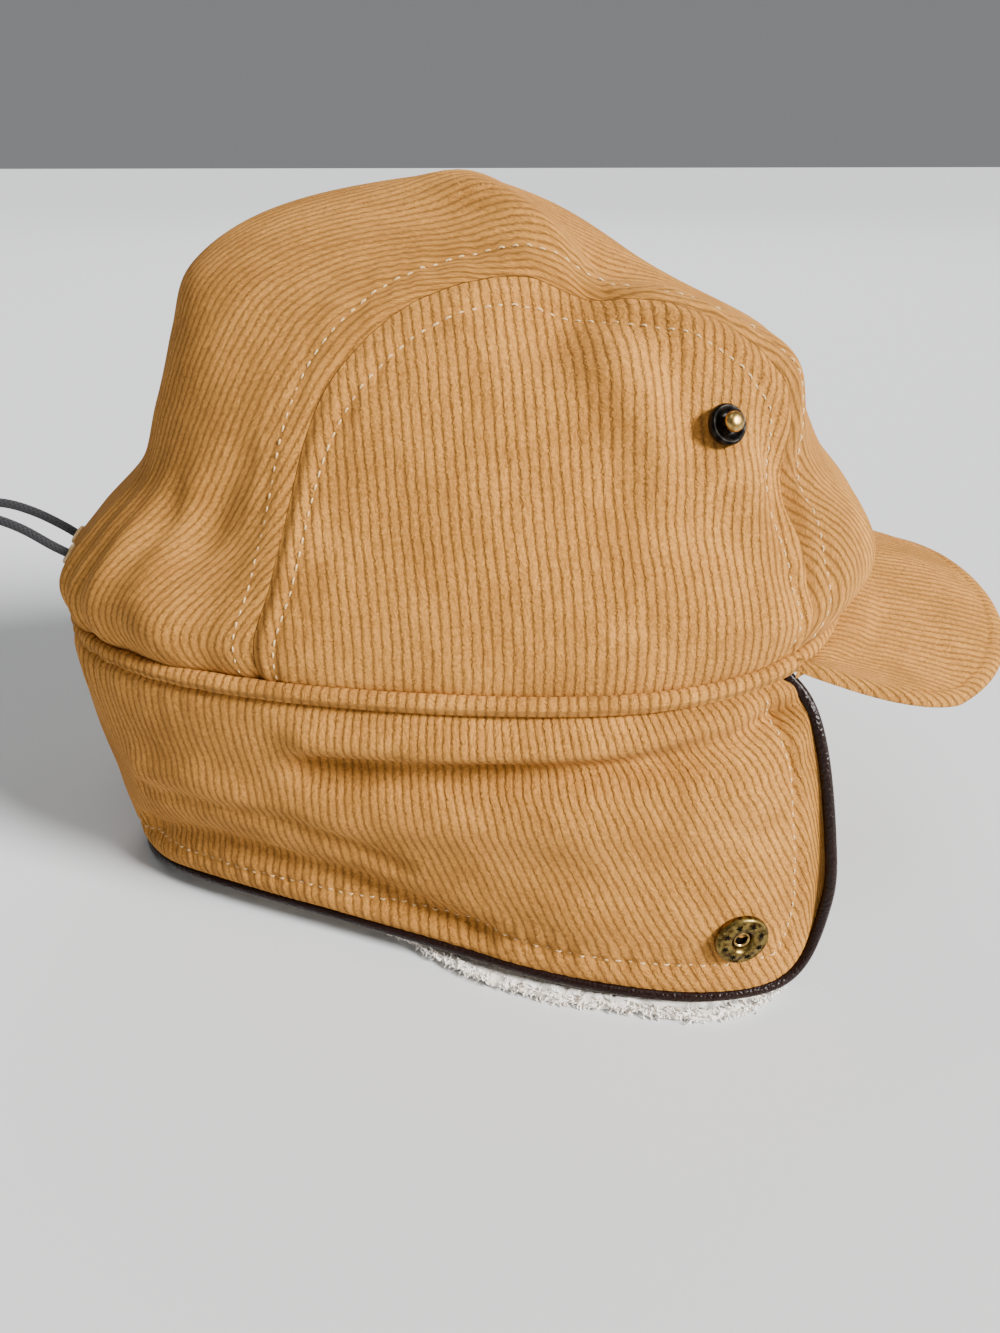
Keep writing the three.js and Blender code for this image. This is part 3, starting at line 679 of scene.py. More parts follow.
def run_along(points, axis):
    """Length over the cloth from the first row, along one direction of the grid."""
    steps = np.linalg.norm(np.diff(points, axis=axis), axis=-1)
    zero = np.zeros_like(np.take(steps, [0], axis=axis))
    return np.concatenate([zero, np.cumsum(steps, axis=axis)], axis=axis)


# %% Relief that sewing gives the crown
STITCH_AWAY = 4.3  # topstitching from the seam, millimetres
wave_seeds = np.random.default_rng(7).uniform(0, 2 * np.pi, (6, 3))


def soft_waves(x, y, size):
    """Slow, shallow unevenness of cloth that has been handled; x, y and size in millimetres."""
    total = np.zeros(np.shape(x))
    for i, (turn, first, second) in enumerate(wave_seeds):
        pitch = size * (0.7 + 0.17 * i)
        total += np.sin((x * np.cos(turn) + y * np.sin(turn)) * 2 * np.pi / pitch + first + second)
    return total / len(wave_seeds)


def dip(away, width):
    return np.exp(-((away / width) ** 2))


def crown_relief(ahead, aside):
    seam_path = [tuple(place) for place in seam_line[::6]]
    near = distance_to(seam_path, ahead, -np.abs(aside), HEAD_SPAN, HEAD_SPAN)
    seam = -0.55 * dip(near, 1.1) + 0.3 * dip(near - 2.2, 1.4) - 0.5 * dip(near - STITCH_AWAY, 1.0)
    along = np.arctan2(aside, ahead)
    puckers = 0.3 * np.sin(along * 64 + 2 * np.sin(along * 17)) * dip(near - STITCH_AWAY, 4.5)
    to_rim = (1 - np.hypot(ahead, aside)) * HEAD_SPAN
    back = np.clip((-ahead - 0.45) * 4, 0, 1)
    gathers = 1.3 * np.sin(along * 31 + 1.6 * np.sin(along * 9)) * np.exp(-to_rim / 15) * back
    gathers = gathers * (1 - np.exp(-to_rim / 4))  # none right at the rim, or the cloth gapes
    tucked = -2.6 * np.exp(-np.maximum(to_rim - 0.6, 0) / 1.5)
    creases = folds_of_crown(CROWN_CREASES, ahead, aside)
    uneven = 0.5 * soft_waves(ahead * HEAD_SPAN, aside * HEAD_SPAN, 26)
    return seam + puckers + gathers + tucked + creases + uneven


def crown_surface(ahead, aside):
    return lifted(crown_point, crown_normal, ahead, aside, crown_relief(ahead, aside))


CROWN_EDGE = 0.99  # ring where the crown's cloth ends behind the welt
print("seam relief at the seam:", crown_relief(*[np.array(v) for v in seam_line[200]]))


# %% Centre strip
def seam_at(share):
    place = np.clip(share, 0, 1) * (len(seam_line) - 1)
    steps = np.arange(len(seam_line))
    return [np.interp(place, steps, seam_line[:, i]) for i in (0, 1)]


def strip_form(over, across):
    """over runs from the back rim to the peak, across from the right seam to the left one."""
    side = 2 * across - 1
    seam_ahead, seam_aside = seam_at(over)
    bow_back = -np.sqrt(1 - (side * SEAM[0][1]) ** 2) - SEAM[0][0]
    bow_front = np.sqrt(1 - (side * SEAM[-1][1]) ** 2) - SEAM[-1][0]
    ahead = seam_ahead + (1 - over) * bow_back + over * bow_front
    aside = -side * seam_aside * (1 - 0.001)
    ring = np.hypot(ahead, aside)
    trim = np.minimum(1, CROWN_EDGE / ring)
    points = crown_surface(ahead * trim, aside * trim)
    width = run_along(points, 0)
    length = run_along(points, 1)
    middle = width.shape[0] // 2
    return points, np.stack([width - width[middle], length], axis=-1) / 10


strip, strip_area = cloth_sheet(
    "crown_strip_cloth", 190, 130, strip_form, SHEET_WALL, (camel, twill_back),
    "corduroy", "crown_strip",
)


# %% Side panels
PANEL_MIDDLE = 86  # angle of the side panel's middle in the round chart


def ring_run(ahead, aside):
    """Length round the crown's own ring from the middle of the side panel, in millimetres."""
    ring, angle = np.hypot(ahead, aside), np.arctan2(aside, ahead)
    middle = np.sign(aside) * np.radians(PANEL_MIDDLE)
    shares = np.linspace(0, 1, 25)[:, None, None]
    angles = middle + (angle - middle) * shares
    steps = np.diff(plain_crown(ring * np.cos(angles), ring * np.sin(angles)), axis=0)
    return np.linalg.norm(steps, axis=-1).sum(axis=0) * np.sign(np.abs(middle) - np.abs(angle))


def panel_form(sign):
    back_angle = math.atan2(SEAM[0][1], SEAM[0][0])
    front_angle = math.atan2(SEAM[-1][1], SEAM[-1][0])

    def form(over, down):
        share = 0.008 + 0.984 * over
        seam_ahead, seam_aside = seam_at(share)
        angle = back_angle + (front_angle - back_angle) * share
        rim_ahead, rim_aside = CROWN_EDGE * np.cos(angle), CROWN_EDGE * np.sin(angle)
        fall = down if sign < 0 else 1 - down
        ahead = seam_ahead + (rim_ahead - seam_ahead) * fall
        aside = sign * (seam_aside - 0.0008 * (1 - fall) + (rim_aside - seam_aside) * fall)
        points = crown_surface(ahead, aside)
        drop = run_along(points, 0)
        return points, np.stack([ring_run(ahead, aside), drop], axis=-1) / 10

    return form


for word, sign in (("right", 1), ("left", -1)):
    panel, panel_area = cloth_sheet(
        f"side_panel_{word}_cloth", 130, 84, panel_form(sign), SHEET_WALL, (camel, twill_back),
        "corduroy", f"side_panel_{word}",
    )

# %% [markdown]
# ## Welt
#
# Between crown and flap runs a welt: a narrow strip of corduroy folded over a filler cord, sewn
# into the seam, with its wales across it like the teeth of a comb. It is a ring with a rounded
# section, lofted round the rim; at the centre back the drawcord gathers it into small bulges.


# %% A closed loft
def loft_faces(loops, size, ring):
    """Faces between loops of points; the last loop meets the first one in a ring."""
    faces = []
    for i in range(loops if ring else loops - 1):
        here, after = i * size, (i + 1) % loops * size
        for k in range(size):
            faces.append((here + k, here + (k + 1) % size, after + (k + 1) % size, after + k))
    if not ring:
        faces += [tuple(range(size - 1, -1, -1)), tuple(range((loops - 1) * size, loops * size))]
    return faces


def recalculate(piece):
    """All faces outward, as after closing a shape by hand."""
    show_only(piece)
    bpy.ops.object.mode_set(mode="EDIT")
    bpy.ops.mesh.select_all(action="SELECT")
    bpy.ops.mesh.normals_make_consistent(inside=False)
    bpy.ops.object.mode_set(mode="OBJECT")


WELT_SIDES = 14
WELT_LOOPS = 720
WELT_HALF = 2.1  # half of how far the welt reaches from its back to its face, millimetres
turns = np.linspace(0, 360, WELT_LOOPS, endpoint=False)
rim = rim_point(turns)
rim_run = run_of(rim)
section = np.arange(WELT_SIDES) * 2 * np.pi / WELT_SIDES
at_back = np.exp(-(((turns - 180) / 38) ** 2))
gathered = at_back * np.sin(rim_run * 2 * np.pi / 9.3)
bulge = 1 + 0.05 * soft_waves(rim_run, 0 * rim_run, 31) + 0.14 * gathered
reach_out = np.outer(bulge, np.cos(section)) * WELT_HALF - 0.35
reach_up = np.outer(bulge, np.sin(section)) * (BAND_TOP + BAND_FOOT + 0.2) / 2
welt_middle = rim + [0, 0, (BAND_TOP - BAND_FOOT) / 2]
ripple = 0.25 * at_back[:, None] * np.sin(rim_run / 2.1)[:, None]
welt_points = (
    welt_middle[:, None] + rim_normal(turns)[:, None] * reach_out[..., None]
    + np.array([0, 0, 1]) * (reach_up + ripple)[..., None]
)
welt_map = np.stack(np.broadcast_arrays(rim_run[:, None] / 10, section[None] * 0.25), axis=-1)
welt = mesh_piece(
    "crown_welt_cloth", welt_points.reshape(-1, 3), loft_faces(WELT_LOOPS, WELT_SIDES, True),
    welt_map.reshape(-1, 2), smooth=60,
)
recalculate(welt)
welt.data.materials.append(camel)
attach(welt, "root")
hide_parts("crown_band")
print(f"welt round a rim of {rim_run[-1]:.0f} mm")

# %% [markdown]
# ## The flap, its piping and its pile lining
#
# One long flap hangs from the welt from temple to temple round the back. Its cloth stops at a
# thin roll of leather, the piping, and curly off-white pile lines it and peeps out below at the
# ears. The cloth is a sheet again; the leather is a tube along the sheet's edge, so the two fit;
# the pile is a lofted body whose surface a displacement breaks up into curls.

# %% The flap's edge
CLOTH_FOOT = 2 * PIPING + GAP  # the cloth ends this far above the hem line
CORNER_END = 57  # plan angle where the ear corner's close samples end
PIPING_POINTS = 900
flap_turns = np.concatenate([
    np.linspace(FLAP_START, CORNER_END, 13),
    np.linspace(CORNER_END, 360 - CORNER_END, 33)[1:],
    np.linspace(360 - CORNER_END, 360 - FLAP_START, 13)[1:],
])
corner = drop_above(np.array(FLAP_START), CLOTH_FOOT)
front_drops = np.linspace(0.0, corner, 11)[:-1]
edge_turns = np.concatenate([
    0 * front_drops + FLAP_START, flap_turns, 0 * front_drops + 360 - FLAP_START
])
edge_drops = np.concatenate([front_drops, drop_above(flap_turns, CLOTH_FOOT), front_drops[::-1]])
cloth_edge = flap_point(edge_turns, edge_drops)
edge_along = np.concatenate([
    cloth_edge[1:2] - cloth_edge[:1],
    cloth_edge[2:] - cloth_edge[:-2],
    cloth_edge[-1:] - cloth_edge[-2:-1],
])
edge_out = flap_normal(edge_turns, edge_drops)
edge_away = -unit(np.cross(edge_along, edge_out))
beside_cloth = cloth_edge + edge_away * (PIPING - 0.3) - edge_out * 0.9
piping_line = smooth_line(beside_cloth, PIPING_POINTS)
# a moving mean eases the corners, and fades out toward both ends
reach = 9
padded_line = np.concatenate([
    piping_line[:1].repeat(reach, 0), piping_line, piping_line[-1:].repeat(reach, 0)
])
eased = np.mean([padded_line[i:i + PIPING_POINTS] for i in range(2 * reach + 1)], axis=0)
steps_in = np.arange(PIPING_POINTS)
fade = np.clip(np.minimum(steps_in, steps_in[::-1]) / 30, 0, 1)[:, None]
piping_line = piping_line + (eased - piping_line) * fade
print(f"the piping follows {run_of(piping_line)[-1]:.0f} mm of edge")


# %% The flap's cloth
def distance_to_line(points, line):
    """Millimetres from points in space to the nearest point of a fine line."""
    flat = points.reshape(-1, 3)
    away = [np.linalg.norm(part[:, None] - line[None], axis=2).min(axis=1)
            for part in np.array_split(flat, max(1, len(flat) // 2000))]
    return np.concatenate(away).reshape(points.shape[:-1])


FLAP_STITCH = 9.5  # from the middle of the piping to the row of stitches
FLAP_RADIUS = 96  # turns an angle round the flap into millimetres


def flap_relief(turn, drop):
    """Relief of rolled edge, stitches and gathers at places of the flap, in millimetres."""
    points = flap_point(turn, drop)
    inside = distance_to_line(points, piping_line[::3])
    run = np.radians(turn - 180) * FLAP_RADIUS
    rolled = -0.9 * dip(inside - 1.2, 1.3)
    sewn = -0.75 * dip(inside - FLAP_STITCH, 1.3) + 0.35 * dip(inside - 5.5, 2.6)
    puckers = 0.3 * np.sin(run / 0.75 + 1.5 * np.sin(run / 5)) * dip(inside - FLAP_STITCH, 4.5)
    gathers = 0.9 * np.sin(run / 1.5 + 1.3 * np.sin(run / 6)) * np.exp(-drop * 9)
    gathers = gathers * dip(turn - 180, 34)
    under_welt = -0.9 * np.exp(-np.maximum(drop, 0) * 60)
    creases = folds_of_flap(FLAP_CREASES, turn, drop)
    uneven = 0.55 * soft_waves(run, drop * FLAP_DEPTH, 30)
    return rolled + sewn + puckers + gathers + under_welt + creases + uneven


GRAIN_LEAN = 0.4  # how far the ribs run forward for each millimetre down, at the ear corner
GRAIN_FROM = 125  # plan angle where they start to lean
GRAIN_TO = 60


def flap_form(round_share, down):
    turn = FLAP_START - 0.3 + (360.6 - 2 * FLAP_START) * round_share
    drop = down * (drop_above(turn, CLOTH_FOOT - 0.6) + 0.02) - 0.02
    points = flap_point(turn, drop)
    run = run_along(points, 1)
    middle = run.shape[1] // 2
    even = run - run[:, middle:middle + 1]
    straight = even[run.shape[0] // 2]
    fall = run_along(points, 0)
    side = np.minimum(turn, 360 - turn)
    toward_ear = np.clip((GRAIN_FROM - side) / (GRAIN_FROM - GRAIN_TO), 0, 1)
    lean = GRAIN_LEAN * toward_ear**2 * (3 - 2 * toward_ear) * np.sign(180 - turn)
    sideways = 0.5 * even + 0.5 * straight + lean * (fall - FLAP_DEPTH / 2)
    cloth = np.stack([sideways, fall], axis=-1) / 10
    return lifted(flap_point, flap_normal, turn, drop, flap_relief(turn, drop)), cloth


flap, flap_area = cloth_sheet(
    "ear_flap_cloth", 420, 84, flap_form, SHEET_WALL, (camel, twill_back), "corduroy", "ear_flap"
)


# %% Leather
# Piping leather is a thin, dyed and finished skin, skived and pulled tight round a cord: nearly
# black brown, with a soft gloss that breaks up on its pebbled grain.
def leather(name, tone, worn):
    made, tree, shader = new_material(
        name, Roughness=0.34, Specular_IOR_Level=0.16, Coat_Weight=0.05, Coat_Roughness=0.15
    )
    spot = add_node(tree, "ShaderNodeTexCoord").outputs["Object"]
    grain = add_node(
        tree, "ShaderNodeTexVoronoi", {"Vector": spot, "Scale": 1500.0}, feature="SMOOTH_F1"
    ).outputs["Distance"]
    creases = noise_at(tree, spot, 420.0, 4.0)
    tint(tree, shader, noise_at(tree, spot, 60.0, 3.0), tone, worn)
    height = add_node(tree, "ShaderNodeMath", {0: grain, 1: creases}, operation="ADD").outputs[0]
    emboss(tree, shader, height, 0.0004, 0.7)
    return made


dark_leather = leather("finished_lamb_leather_dark_brown", "100605", "221009")
piping = tube("flap_piping_leather", piping_line, PIPING, sides=16)
piping.data.materials.append(dark_leather)
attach(piping, "root")
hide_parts("flap_piping")
print("piping:", len(piping.data.polygons), "faces")


# %% Pile
# Sherpa is a knit whose long pile is brushed and tumbled until it curls into clumps, like a
# lamb's coat: matt, its off-white on the clumps and a warm grey of painted shade between them.
def curly_pile(name):
    made, tree, shader = new_material(
        name, Roughness=1.0, Specular_IOR_Level=0.1, Sheen_Weight=0.5, Sheen_Roughness=0.5
    )
    spot = add_node(tree, "ShaderNodeTexCoord").outputs["Object"]
    clumps = noise_at(tree, spot, 330.0, 3.0, Distortion=1.2)
    hairs = noise_at(tree, spot, 1700.0, 2.0, Distortion=2.0)
    # Painted shade: the colour turns a warm grey in the hollows between the clumps.
    between = add_node(
        tree, "ShaderNodeMapRange", {"Value": clumps, "From Min": 0.35, "From Max": 0.6}
    ).outputs[0]
    tint(tree, shader, between, "EFE4D6", "FBF4EA")
    height = add_node(
        tree, "ShaderNodeMath", {0: hairs, 1: 0.4, 2: clumps}, operation="MULTIPLY_ADD"
    ).outputs[0]
    emboss(tree, shader, height, 0.0008, 0.6)
    return made


sherpa = curly_pile("polyester_sherpa_off_white")

# %% The lining's body
# columns: plan angle, how far the lip stands out from the flap's face, height of its foot
LINING = np.array([
    (45, -3.4, 40), (48, -3.4, 16), (52, -3.4, 5.5), (56, -2.0, 1.2), (62, 1.7, 0), (75, 2.1, 0),
    (94, 1.8, 0), (104, -3.0, 1.5), (130, -3.4, 3.4), (160, -3.4, 1.2), (180, -3.4, 0.3),
])
lip_reach, lip_foot = curve_of(LINING, 1), curve_of(LINING, 2)
PILE = 4.2
LIP = 1.9
LINING_INSET = 2.4  # degrees by which the lining stops short of the flap's front edges
BEHIND = CLOTH / 2 + PIPING + 5 * GAP
lining_turns = np.linspace(FLAP_START + LINING_INSET, 360 - FLAP_START - LINING_INSET, 520)
sides = np.minimum(lining_turns, 360 - lining_turns)
hem = plain_flap(lining_turns, lining_turns * 0 + 1)
hem_out = unit(flap_normal(lining_turns, lining_turns * 0 + 1) * [1, 1, 0])
foot = np.maximum(0.2, lip_foot(sides))
lip = lip_reach(sides)
cloth_end = drop_above(lining_turns, CLOTH_FOOT)


def behind_flap(share, away):
    drop = cloth_end * share
    return flap_point(lining_turns, drop) + flap_normal(lining_turns, drop) * away


def at_hem(away, height):
    low = hem + hem_out * np.broadcast_to(away, sides.shape)[:, None]
    return np.concatenate([low[:, :2], np.broadcast_to(height, sides.shape)[:, None]], axis=1)


FACE = -(CLOTH + GAP + PILE)  # how far in the pile's face lies
HIDDEN_ROWS = 44  # rows behind the cloth; all but the last two are left without curls
lining_rows = [behind_flap(share, -CLOTH - 2.6) for share in np.linspace(0.05, 0.93, HIDDEN_ROWS)]
to_lip = lip + BEHIND
lining_rows += [at_hem(-BEHIND + to_lip * share, foot + LIP) for share in np.linspace(0, 0.95, 6)]
lining_rows += [at_hem(lip + 0.4, foot + LIP * share) for share in (0.75, 0.5, 0.25)]
lining_rows += [at_hem(lip + (FACE - lip) * share, foot) for share in np.linspace(0.05, 0.95, 10)]
lining_rows += [at_hem(FACE - 0.5, foot + rise) for rise in (0.6, 1.6, 2.8)]
lining_rows += [behind_flap(share, FACE) for share in np.linspace(0.985, 0.05, 84)]
lining_points = np.stack(lining_rows, axis=1)
lining = mesh_piece(
    "flap_lining_pile", lining_points.reshape(-1, 3),
    loft_faces(len(lining_turns), len(lining_rows), False), smooth=80,
)
recalculate(lining)
shown = lining.vertex_groups.new(name="shown")
turn_size = len(lining_rows)
in_sight = [i for i in range(len(lining.data.vertices)) if i % turn_size >= HIDDEN_ROWS - 2]
shown.add(in_sight, 1.0, "REPLACE")
for label, size, depth in (("clump", 0.0034, 0.0022), ("curl", 0.0013, 0.0008)):
    bumps = bpy.data.textures.new(label, "CLOUDS")
    bumps.noise_scale = size
    bumps.noise_depth = 1
    raised = lining.modifiers.new(label, "DISPLACE")
    raised.texture = bumps
    raised.texture_coords = "LOCAL"
    raised.strength = depth
    raised.mid_level = 0.55
    raised.vertex_group = "shown"
    bpy.ops.object.modifier_apply(modifier=raised.name)
places = places_of(lining.data)
places[:, 2] = np.maximum(places[:, 2], 0.0001)
lining.data.vertices.foreach_set("co", places.ravel())
lining.data.materials.append(sherpa)
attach(lining, "root")
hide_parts("flap_lining")
print("pile lining:", len(lining.data.polygons), "faces")


# %% Curls along the lip
# The pile's loose ends catch the light beyond the leather, so the lip gets some real curls.
chance = np.random.default_rng(11)
CURLS = 1700
curl_points, curl_faces = [], []
for number in range(CURLS):
    side = 54 + 54 * chance.random()
    turn = side if number % 2 else 360 - side
    k = int(np.argmin(np.abs(lining_turns - turn)))
    start_away = lip[k] + chance.uniform(-2.2, 0.5)
    start = hem[k] * [1, 1, 0] + hem_out[k] * start_away
    start = start + [0, 0, foot[k] + chance.uniform(0.3, LIP)]
    along_hem = np.array([-hem_out[k][1], hem_out[k][0], 0])
    heading = hem_out[k] * chance.uniform(0.3, 1) + along_hem * chance.uniform(-1, 1)
    heading = unit(heading + np.array([0, 0, chance.uniform(-0.2, 0.5)]))
    bend = unit(np.cross(heading, chance.normal(size=3)))
    angle = np.linspace(0, chance.uniform(1.5, 3.6), 6)[:, None]
    size = chance.uniform(0.5, 1.0)
    turned = heading * np.sin(angle) + bend * (1 - np.cos(angle))
    curl = start + size * turned + heading * angle * 0.2
    curl[:, 2] = np.maximum(curl[:, 2], 0.25)
    ring_points, _ = tube_rings(curl, np.array([0.22, 0.24, 0.24, 0.22, 0.17, 0.08]), 4)
    curl_faces += ring_faces(6, 4, len(curl_points) * 24)
    curl_points.append(ring_points)
curls = mesh_piece("lining_lip_curls", np.concatenate(curl_points), curl_faces, smooth=80)
curls.data.materials.append(sherpa)
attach(curls, "root")
print(CURLS, "curls along the lip")

# %% [markdown]
# ## Peak
#
# The peak is a curved board between two layers of corduroy, turned and pressed at its edge, so
# the edge is round and soft, and its ribs run from the crown to the tip. One sheet can make all
# of it: it leaves the crown above the board, goes round the edge and comes back below it.

# %% The peak's form
PEAK_ROOT = 46.4  # plan angle of the peak's two ends on the rim
PEAK_BACK = 72  # how far forward the sides of its outline start
PEAK_REACH = 83  # from there to the tip
PEAK_HALF = 74  # half of its width
PEAK_POWER = 2.6  # 2 would make the outline an ellipse
PEAK_DEPTH = 62  # from the crown to the edge, roughly
PEAK_WALL = 3.2
PEAK_CROWN = 7  # how much its sides sag at the root
PEAK_ARCH = 18  # and how much further at the tip


def peak_point(across, ahead):
    """Upper face of the peak; across runs -1 to 1 from the right side, ahead 0 at the root."""
    turn = PEAK_ROOT * -across
    root = rim_point(turn) + rim_normal(turn) * (BAND_OUT + GAP)
    sweep = across * np.pi / 2
    tip_x = PEAK_BACK + PEAK_REACH * np.abs(np.cos(sweep)) ** (2 / PEAK_POWER)
    tip_y = PEAK_HALF * np.sign(across) * np.abs(np.sin(sweep)) ** (2 / PEAK_POWER)
    x = root[..., 0] + (tip_x - root[..., 0]) * ahead
    y = root[..., 1] + (tip_y - root[..., 1]) * ahead
    run = np.clip((x - 100) / 68, -1, 1)
    crest = 94 - 7 * run - 12 * np.maximum(run, 0) ** 2
    sag = (PEAK_CROWN + PEAK_ARCH * np.clip((x - 70) / 52, 0, 1)) * (y / PEAK_HALF) ** 2
    blend = np.minimum(1, ahead * 4)
    return np.stack([x, y, root[..., 2] + (crest - sag - root[..., 2]) * blend], axis=-1)


def peak_form(sideways, over):
    across = 2 * sideways - 1
    layer = 1 - 2 * over  # 1 at the root above, 0 at the edge, -1 at the root below
    from_edge = np.abs(layer) ** 1.7
    points = peak_point(across, 1 - from_edge)
    depth = from_edge * PEAK_DEPTH
    half = PEAK_WALL / 2 * np.sqrt(1 - (1 - np.clip(depth / 2.0, 0, 1)) ** 2)
    half = half + 0.35 * dip(depth - 3.6, 2.4) - 0.3 * dip(depth - 6.5, 1.0)
    uneven = 0.5 * soft_waves(points[..., 0], points[..., 1], 34)
    rise = -PEAK_WALL / 2 + np.sign(layer) * half + uneven * np.minimum(1, depth / 8)
    points = points + np.array([0, 0, 1]) * rise[..., None]
    width = run_along(points, 1)
    middle = width.shape[1] // 2
    plan = np.concatenate([points[:1, :, :2], points[:, :, :2]])
    fall = run_along(points, 0) - np.cumsum(np.linalg.norm(np.diff(plan, axis=0), axis=-1), axis=0)
    fall = fall - fall[fall.shape[0] // 4]
    away = unit(points[..., :2] - np.array([PEAK_BACK, 0]))
    arched = width - width[:, middle:middle + 1]
    flat = np.stack([0.5 * points[..., 1] + 0.5 * arched, points[..., 0]], axis=-1)
    return points, (flat + away[..., ::-1] * fall[..., None]) / 10


peak, peak_area = cloth_sheet("peak_cloth", 150, 120, peak_form, 0, (camel,), "corduroy", "visor")

# %% [markdown]
# ## Snaps
#
# Each ear corner carries the socket of a ring snap, and each side of the crown its stud, so the
# flaps can be turned up and closed there. They are stamped from brass sheet: the socket's ring is
# darkened and rubbed bright again on its high places, and the stud's ring is black. A stamped
# part is round, so its profile is turned once round its axis, and the milled rim and the small
# stars are raised afterwards. The profiles have small roundings in place of sharp edges.


# %% Metals
# Antique brass is brass that was stained brown and then rubbed: bright edges, brown hollows.
def aged_metal(name, bright, stained, roughness):
    made, tree, shader = new_material(name, Metallic=1.0)
    spot = add_node(tree, "ShaderNodeTexCoord").outputs["Object"]
    patina = noise_at(tree, spot, 650.0, 5.0)
    amount = add_node(
        tree, "ShaderNodeMapRange", {"Value": patina, "From Min": 0.38, "From Max": 0.62}
    ).outputs[0]
    tint(tree, shader, amount, stained, bright)
    span = {"Value": patina, "To Min": roughness + 0.12, "To Max": roughness - 0.1}
    dull = add_node(tree, "ShaderNodeMapRange", span).outputs[0]
    tree.links.new(dull, shader.inputs["Roughness"])
    return made


antique_brass = aged_metal("antique_brass_rubbed", "86703C", "3A2A12", 0.36)
rubbed_brass = aged_metal("brass_polished_by_wear", "C9A765", "7D6131", 0.28)
black_brass = aged_metal("brass_black_oxide", "2A2724", "0E0D0C", 0.38)
# Near black: the stain on the stars, and painted shadow on the disc in the socket's bore.
stain_and_shadow_black = aged_metal("stain_and_painted_shadow", "1C1712", "0C0A08", 0.6)


# %% Turned and placed parts
def seat(surface, spot, reach):
    """Where a hard part's foot rests on the cloth, and the cloth's direction there."""
    u, v = (np.array(float(number)) for number in spot)
    normal = outward(surface, u, v, *reach)
    middle, steps = surface(u, v), np.linspace(-1, 1, 5)
    lifts = [
        (surface(u + i * reach[0], v + k * reach[1]) - middle).dot(normal)
        for i in steps for k in steps
    ]
    return middle + normal * (max(lifts) + GAP), normal


def turned_part(name, profile, segments, metal):
    """A profile of (radius, height) pairs in millimetres, turned round the upright axis."""
    mesh = bpy.data.meshes.new(name)
    spots = [(radius / 1000, 0, height / 1000) for radius, height in profile]
    mesh.from_pydata(spots, [(i, i + 1) for i in range(len(spots) - 1)], [])
    part = bpy.data.objects.new(name, mesh)
    bpy.context.scene.collection.objects.link(part)
    show_only(part)
    turn = part.modifiers.new("turn", "SCREW")
    turn.steps = turn.render_steps = segments
    turn.use_merge_vertices = True
    turn.merge_threshold = 1e-6
    bpy.ops.object.modifier_apply(modifier=turn.name)
    recalculate(part)
    bpy.ops.object.shade_smooth_by_angle(angle=math.radians(35))
    part.data.materials.append(metal)
    return part


def mill(part, inner, outer, rise):
    """Raises every other spoke of points between two radii, as a milled rim has."""
    for vertex in part.data.vertices:
        radius = math.hypot(vertex.co.x, vertex.co.y) * 1000
        if inner < radius < outer:
            spoke = round(math.atan2(vertex.co.y, vertex.co.x) / (2 * math.pi) * MILLING)
            vertex.co.z += rise / 1000 * (spoke % 2)


def set_in_place(parts, name, place, normal, spin_degrees, slot, *cad_nodes):
    """Joins parts that were made at the origin and moves them to their seat."""
    bpy.ops.object.select_all(action="DESELECT")
    for part in parts:
        part.select_set(True)
    bpy.context.view_layer.objects.active = parts[0]
    bpy.ops.object.join()
    piece = bpy.context.object
    piece.name = piece.data.name = name
    across = unit(np.cross((0, 0, 1), normal))
    up = np.cross(normal, across)
    spin = math.radians(spin_degrees)
    first = across * math.cos(spin) + up * math.sin(spin)
    axes = np.stack([first, np.cross(normal, first), normal], axis=1)
    moved = places_of(piece.data) @ axes.T + in_metres(place)
    piece.data.vertices.foreach_set("co", moved.ravel())
    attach(piece, "root")
    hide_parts(*cad_nodes)
    print(f"{name}: {len(piece.data.polygons)} faces at {in_metres(place).round(4)}")
    return piece


MILLING = 120  # spokes of the milled rim, every other one raised
SUNK = 0.2  # how deep a snap is pressed into the pile, millimetres
print("metals ready")


# %% Socket
SOCKET_SPOT = (61.25, 0.74)  # plan angle, share of the drop
SOCKET_RING = [
    (2.45, 0.0), (6.7, 0.0), (6.95, 0.25), (6.95, 0.9), (6.75, 1.35), (6.4, 1.62), (6.1, 1.72),
    (5.8, 1.66), (5.6, 1.72), (4.6, 1.95), (3.9, 2.05), (3.4, 1.98), (3.05, 1.72), (2.75, 1.3),
    (2.5, 0.8), (2.45, 0.0),
]
SPRING = [
    (1.55, 0.75), (1.75, 0.95), (2.05, 0.95), (2.2, 0.75), (2.05, 0.55), (1.75, 0.55), (1.55, 0.75),
]
STARS = 8
SOCKET_SPIN = 18  # degrees by which the stars are turned


def star(turn):
    """A raised five-pointed star on the ring, stained dark."""
    bpy.ops.object.select_all(action="DESELECT")
    bpy.ops.mesh.primitive_circle_add(vertices=10, radius=0.00092, fill_type="NGON")
    made = bpy.context.object
    for vertex in made.data.vertices:
        if vertex.index % 2:
            vertex.co *= 0.42
    bpy.ops.object.mode_set(mode="EDIT")
    bpy.ops.mesh.select_all(action="SELECT")
    bpy.ops.mesh.extrude_region_move(TRANSFORM_OT_translate={"value": (0, 0, 0.00016)})
    bpy.ops.object.mode_set(mode="OBJECT")
    bpy.ops.transform.translate(value=(0, 0.00475, 0.0019))
    bpy.ops.object.transform_apply(location=True, rotation=True, scale=True)
    bpy.ops.transform.rotate(value=turn, orient_axis="Z", center_override=(0, 0, 0))
    bpy.ops.object.transform_apply(location=True, rotation=True, scale=True)
    made.data.materials.append(stain_and_shadow_black)
    return made


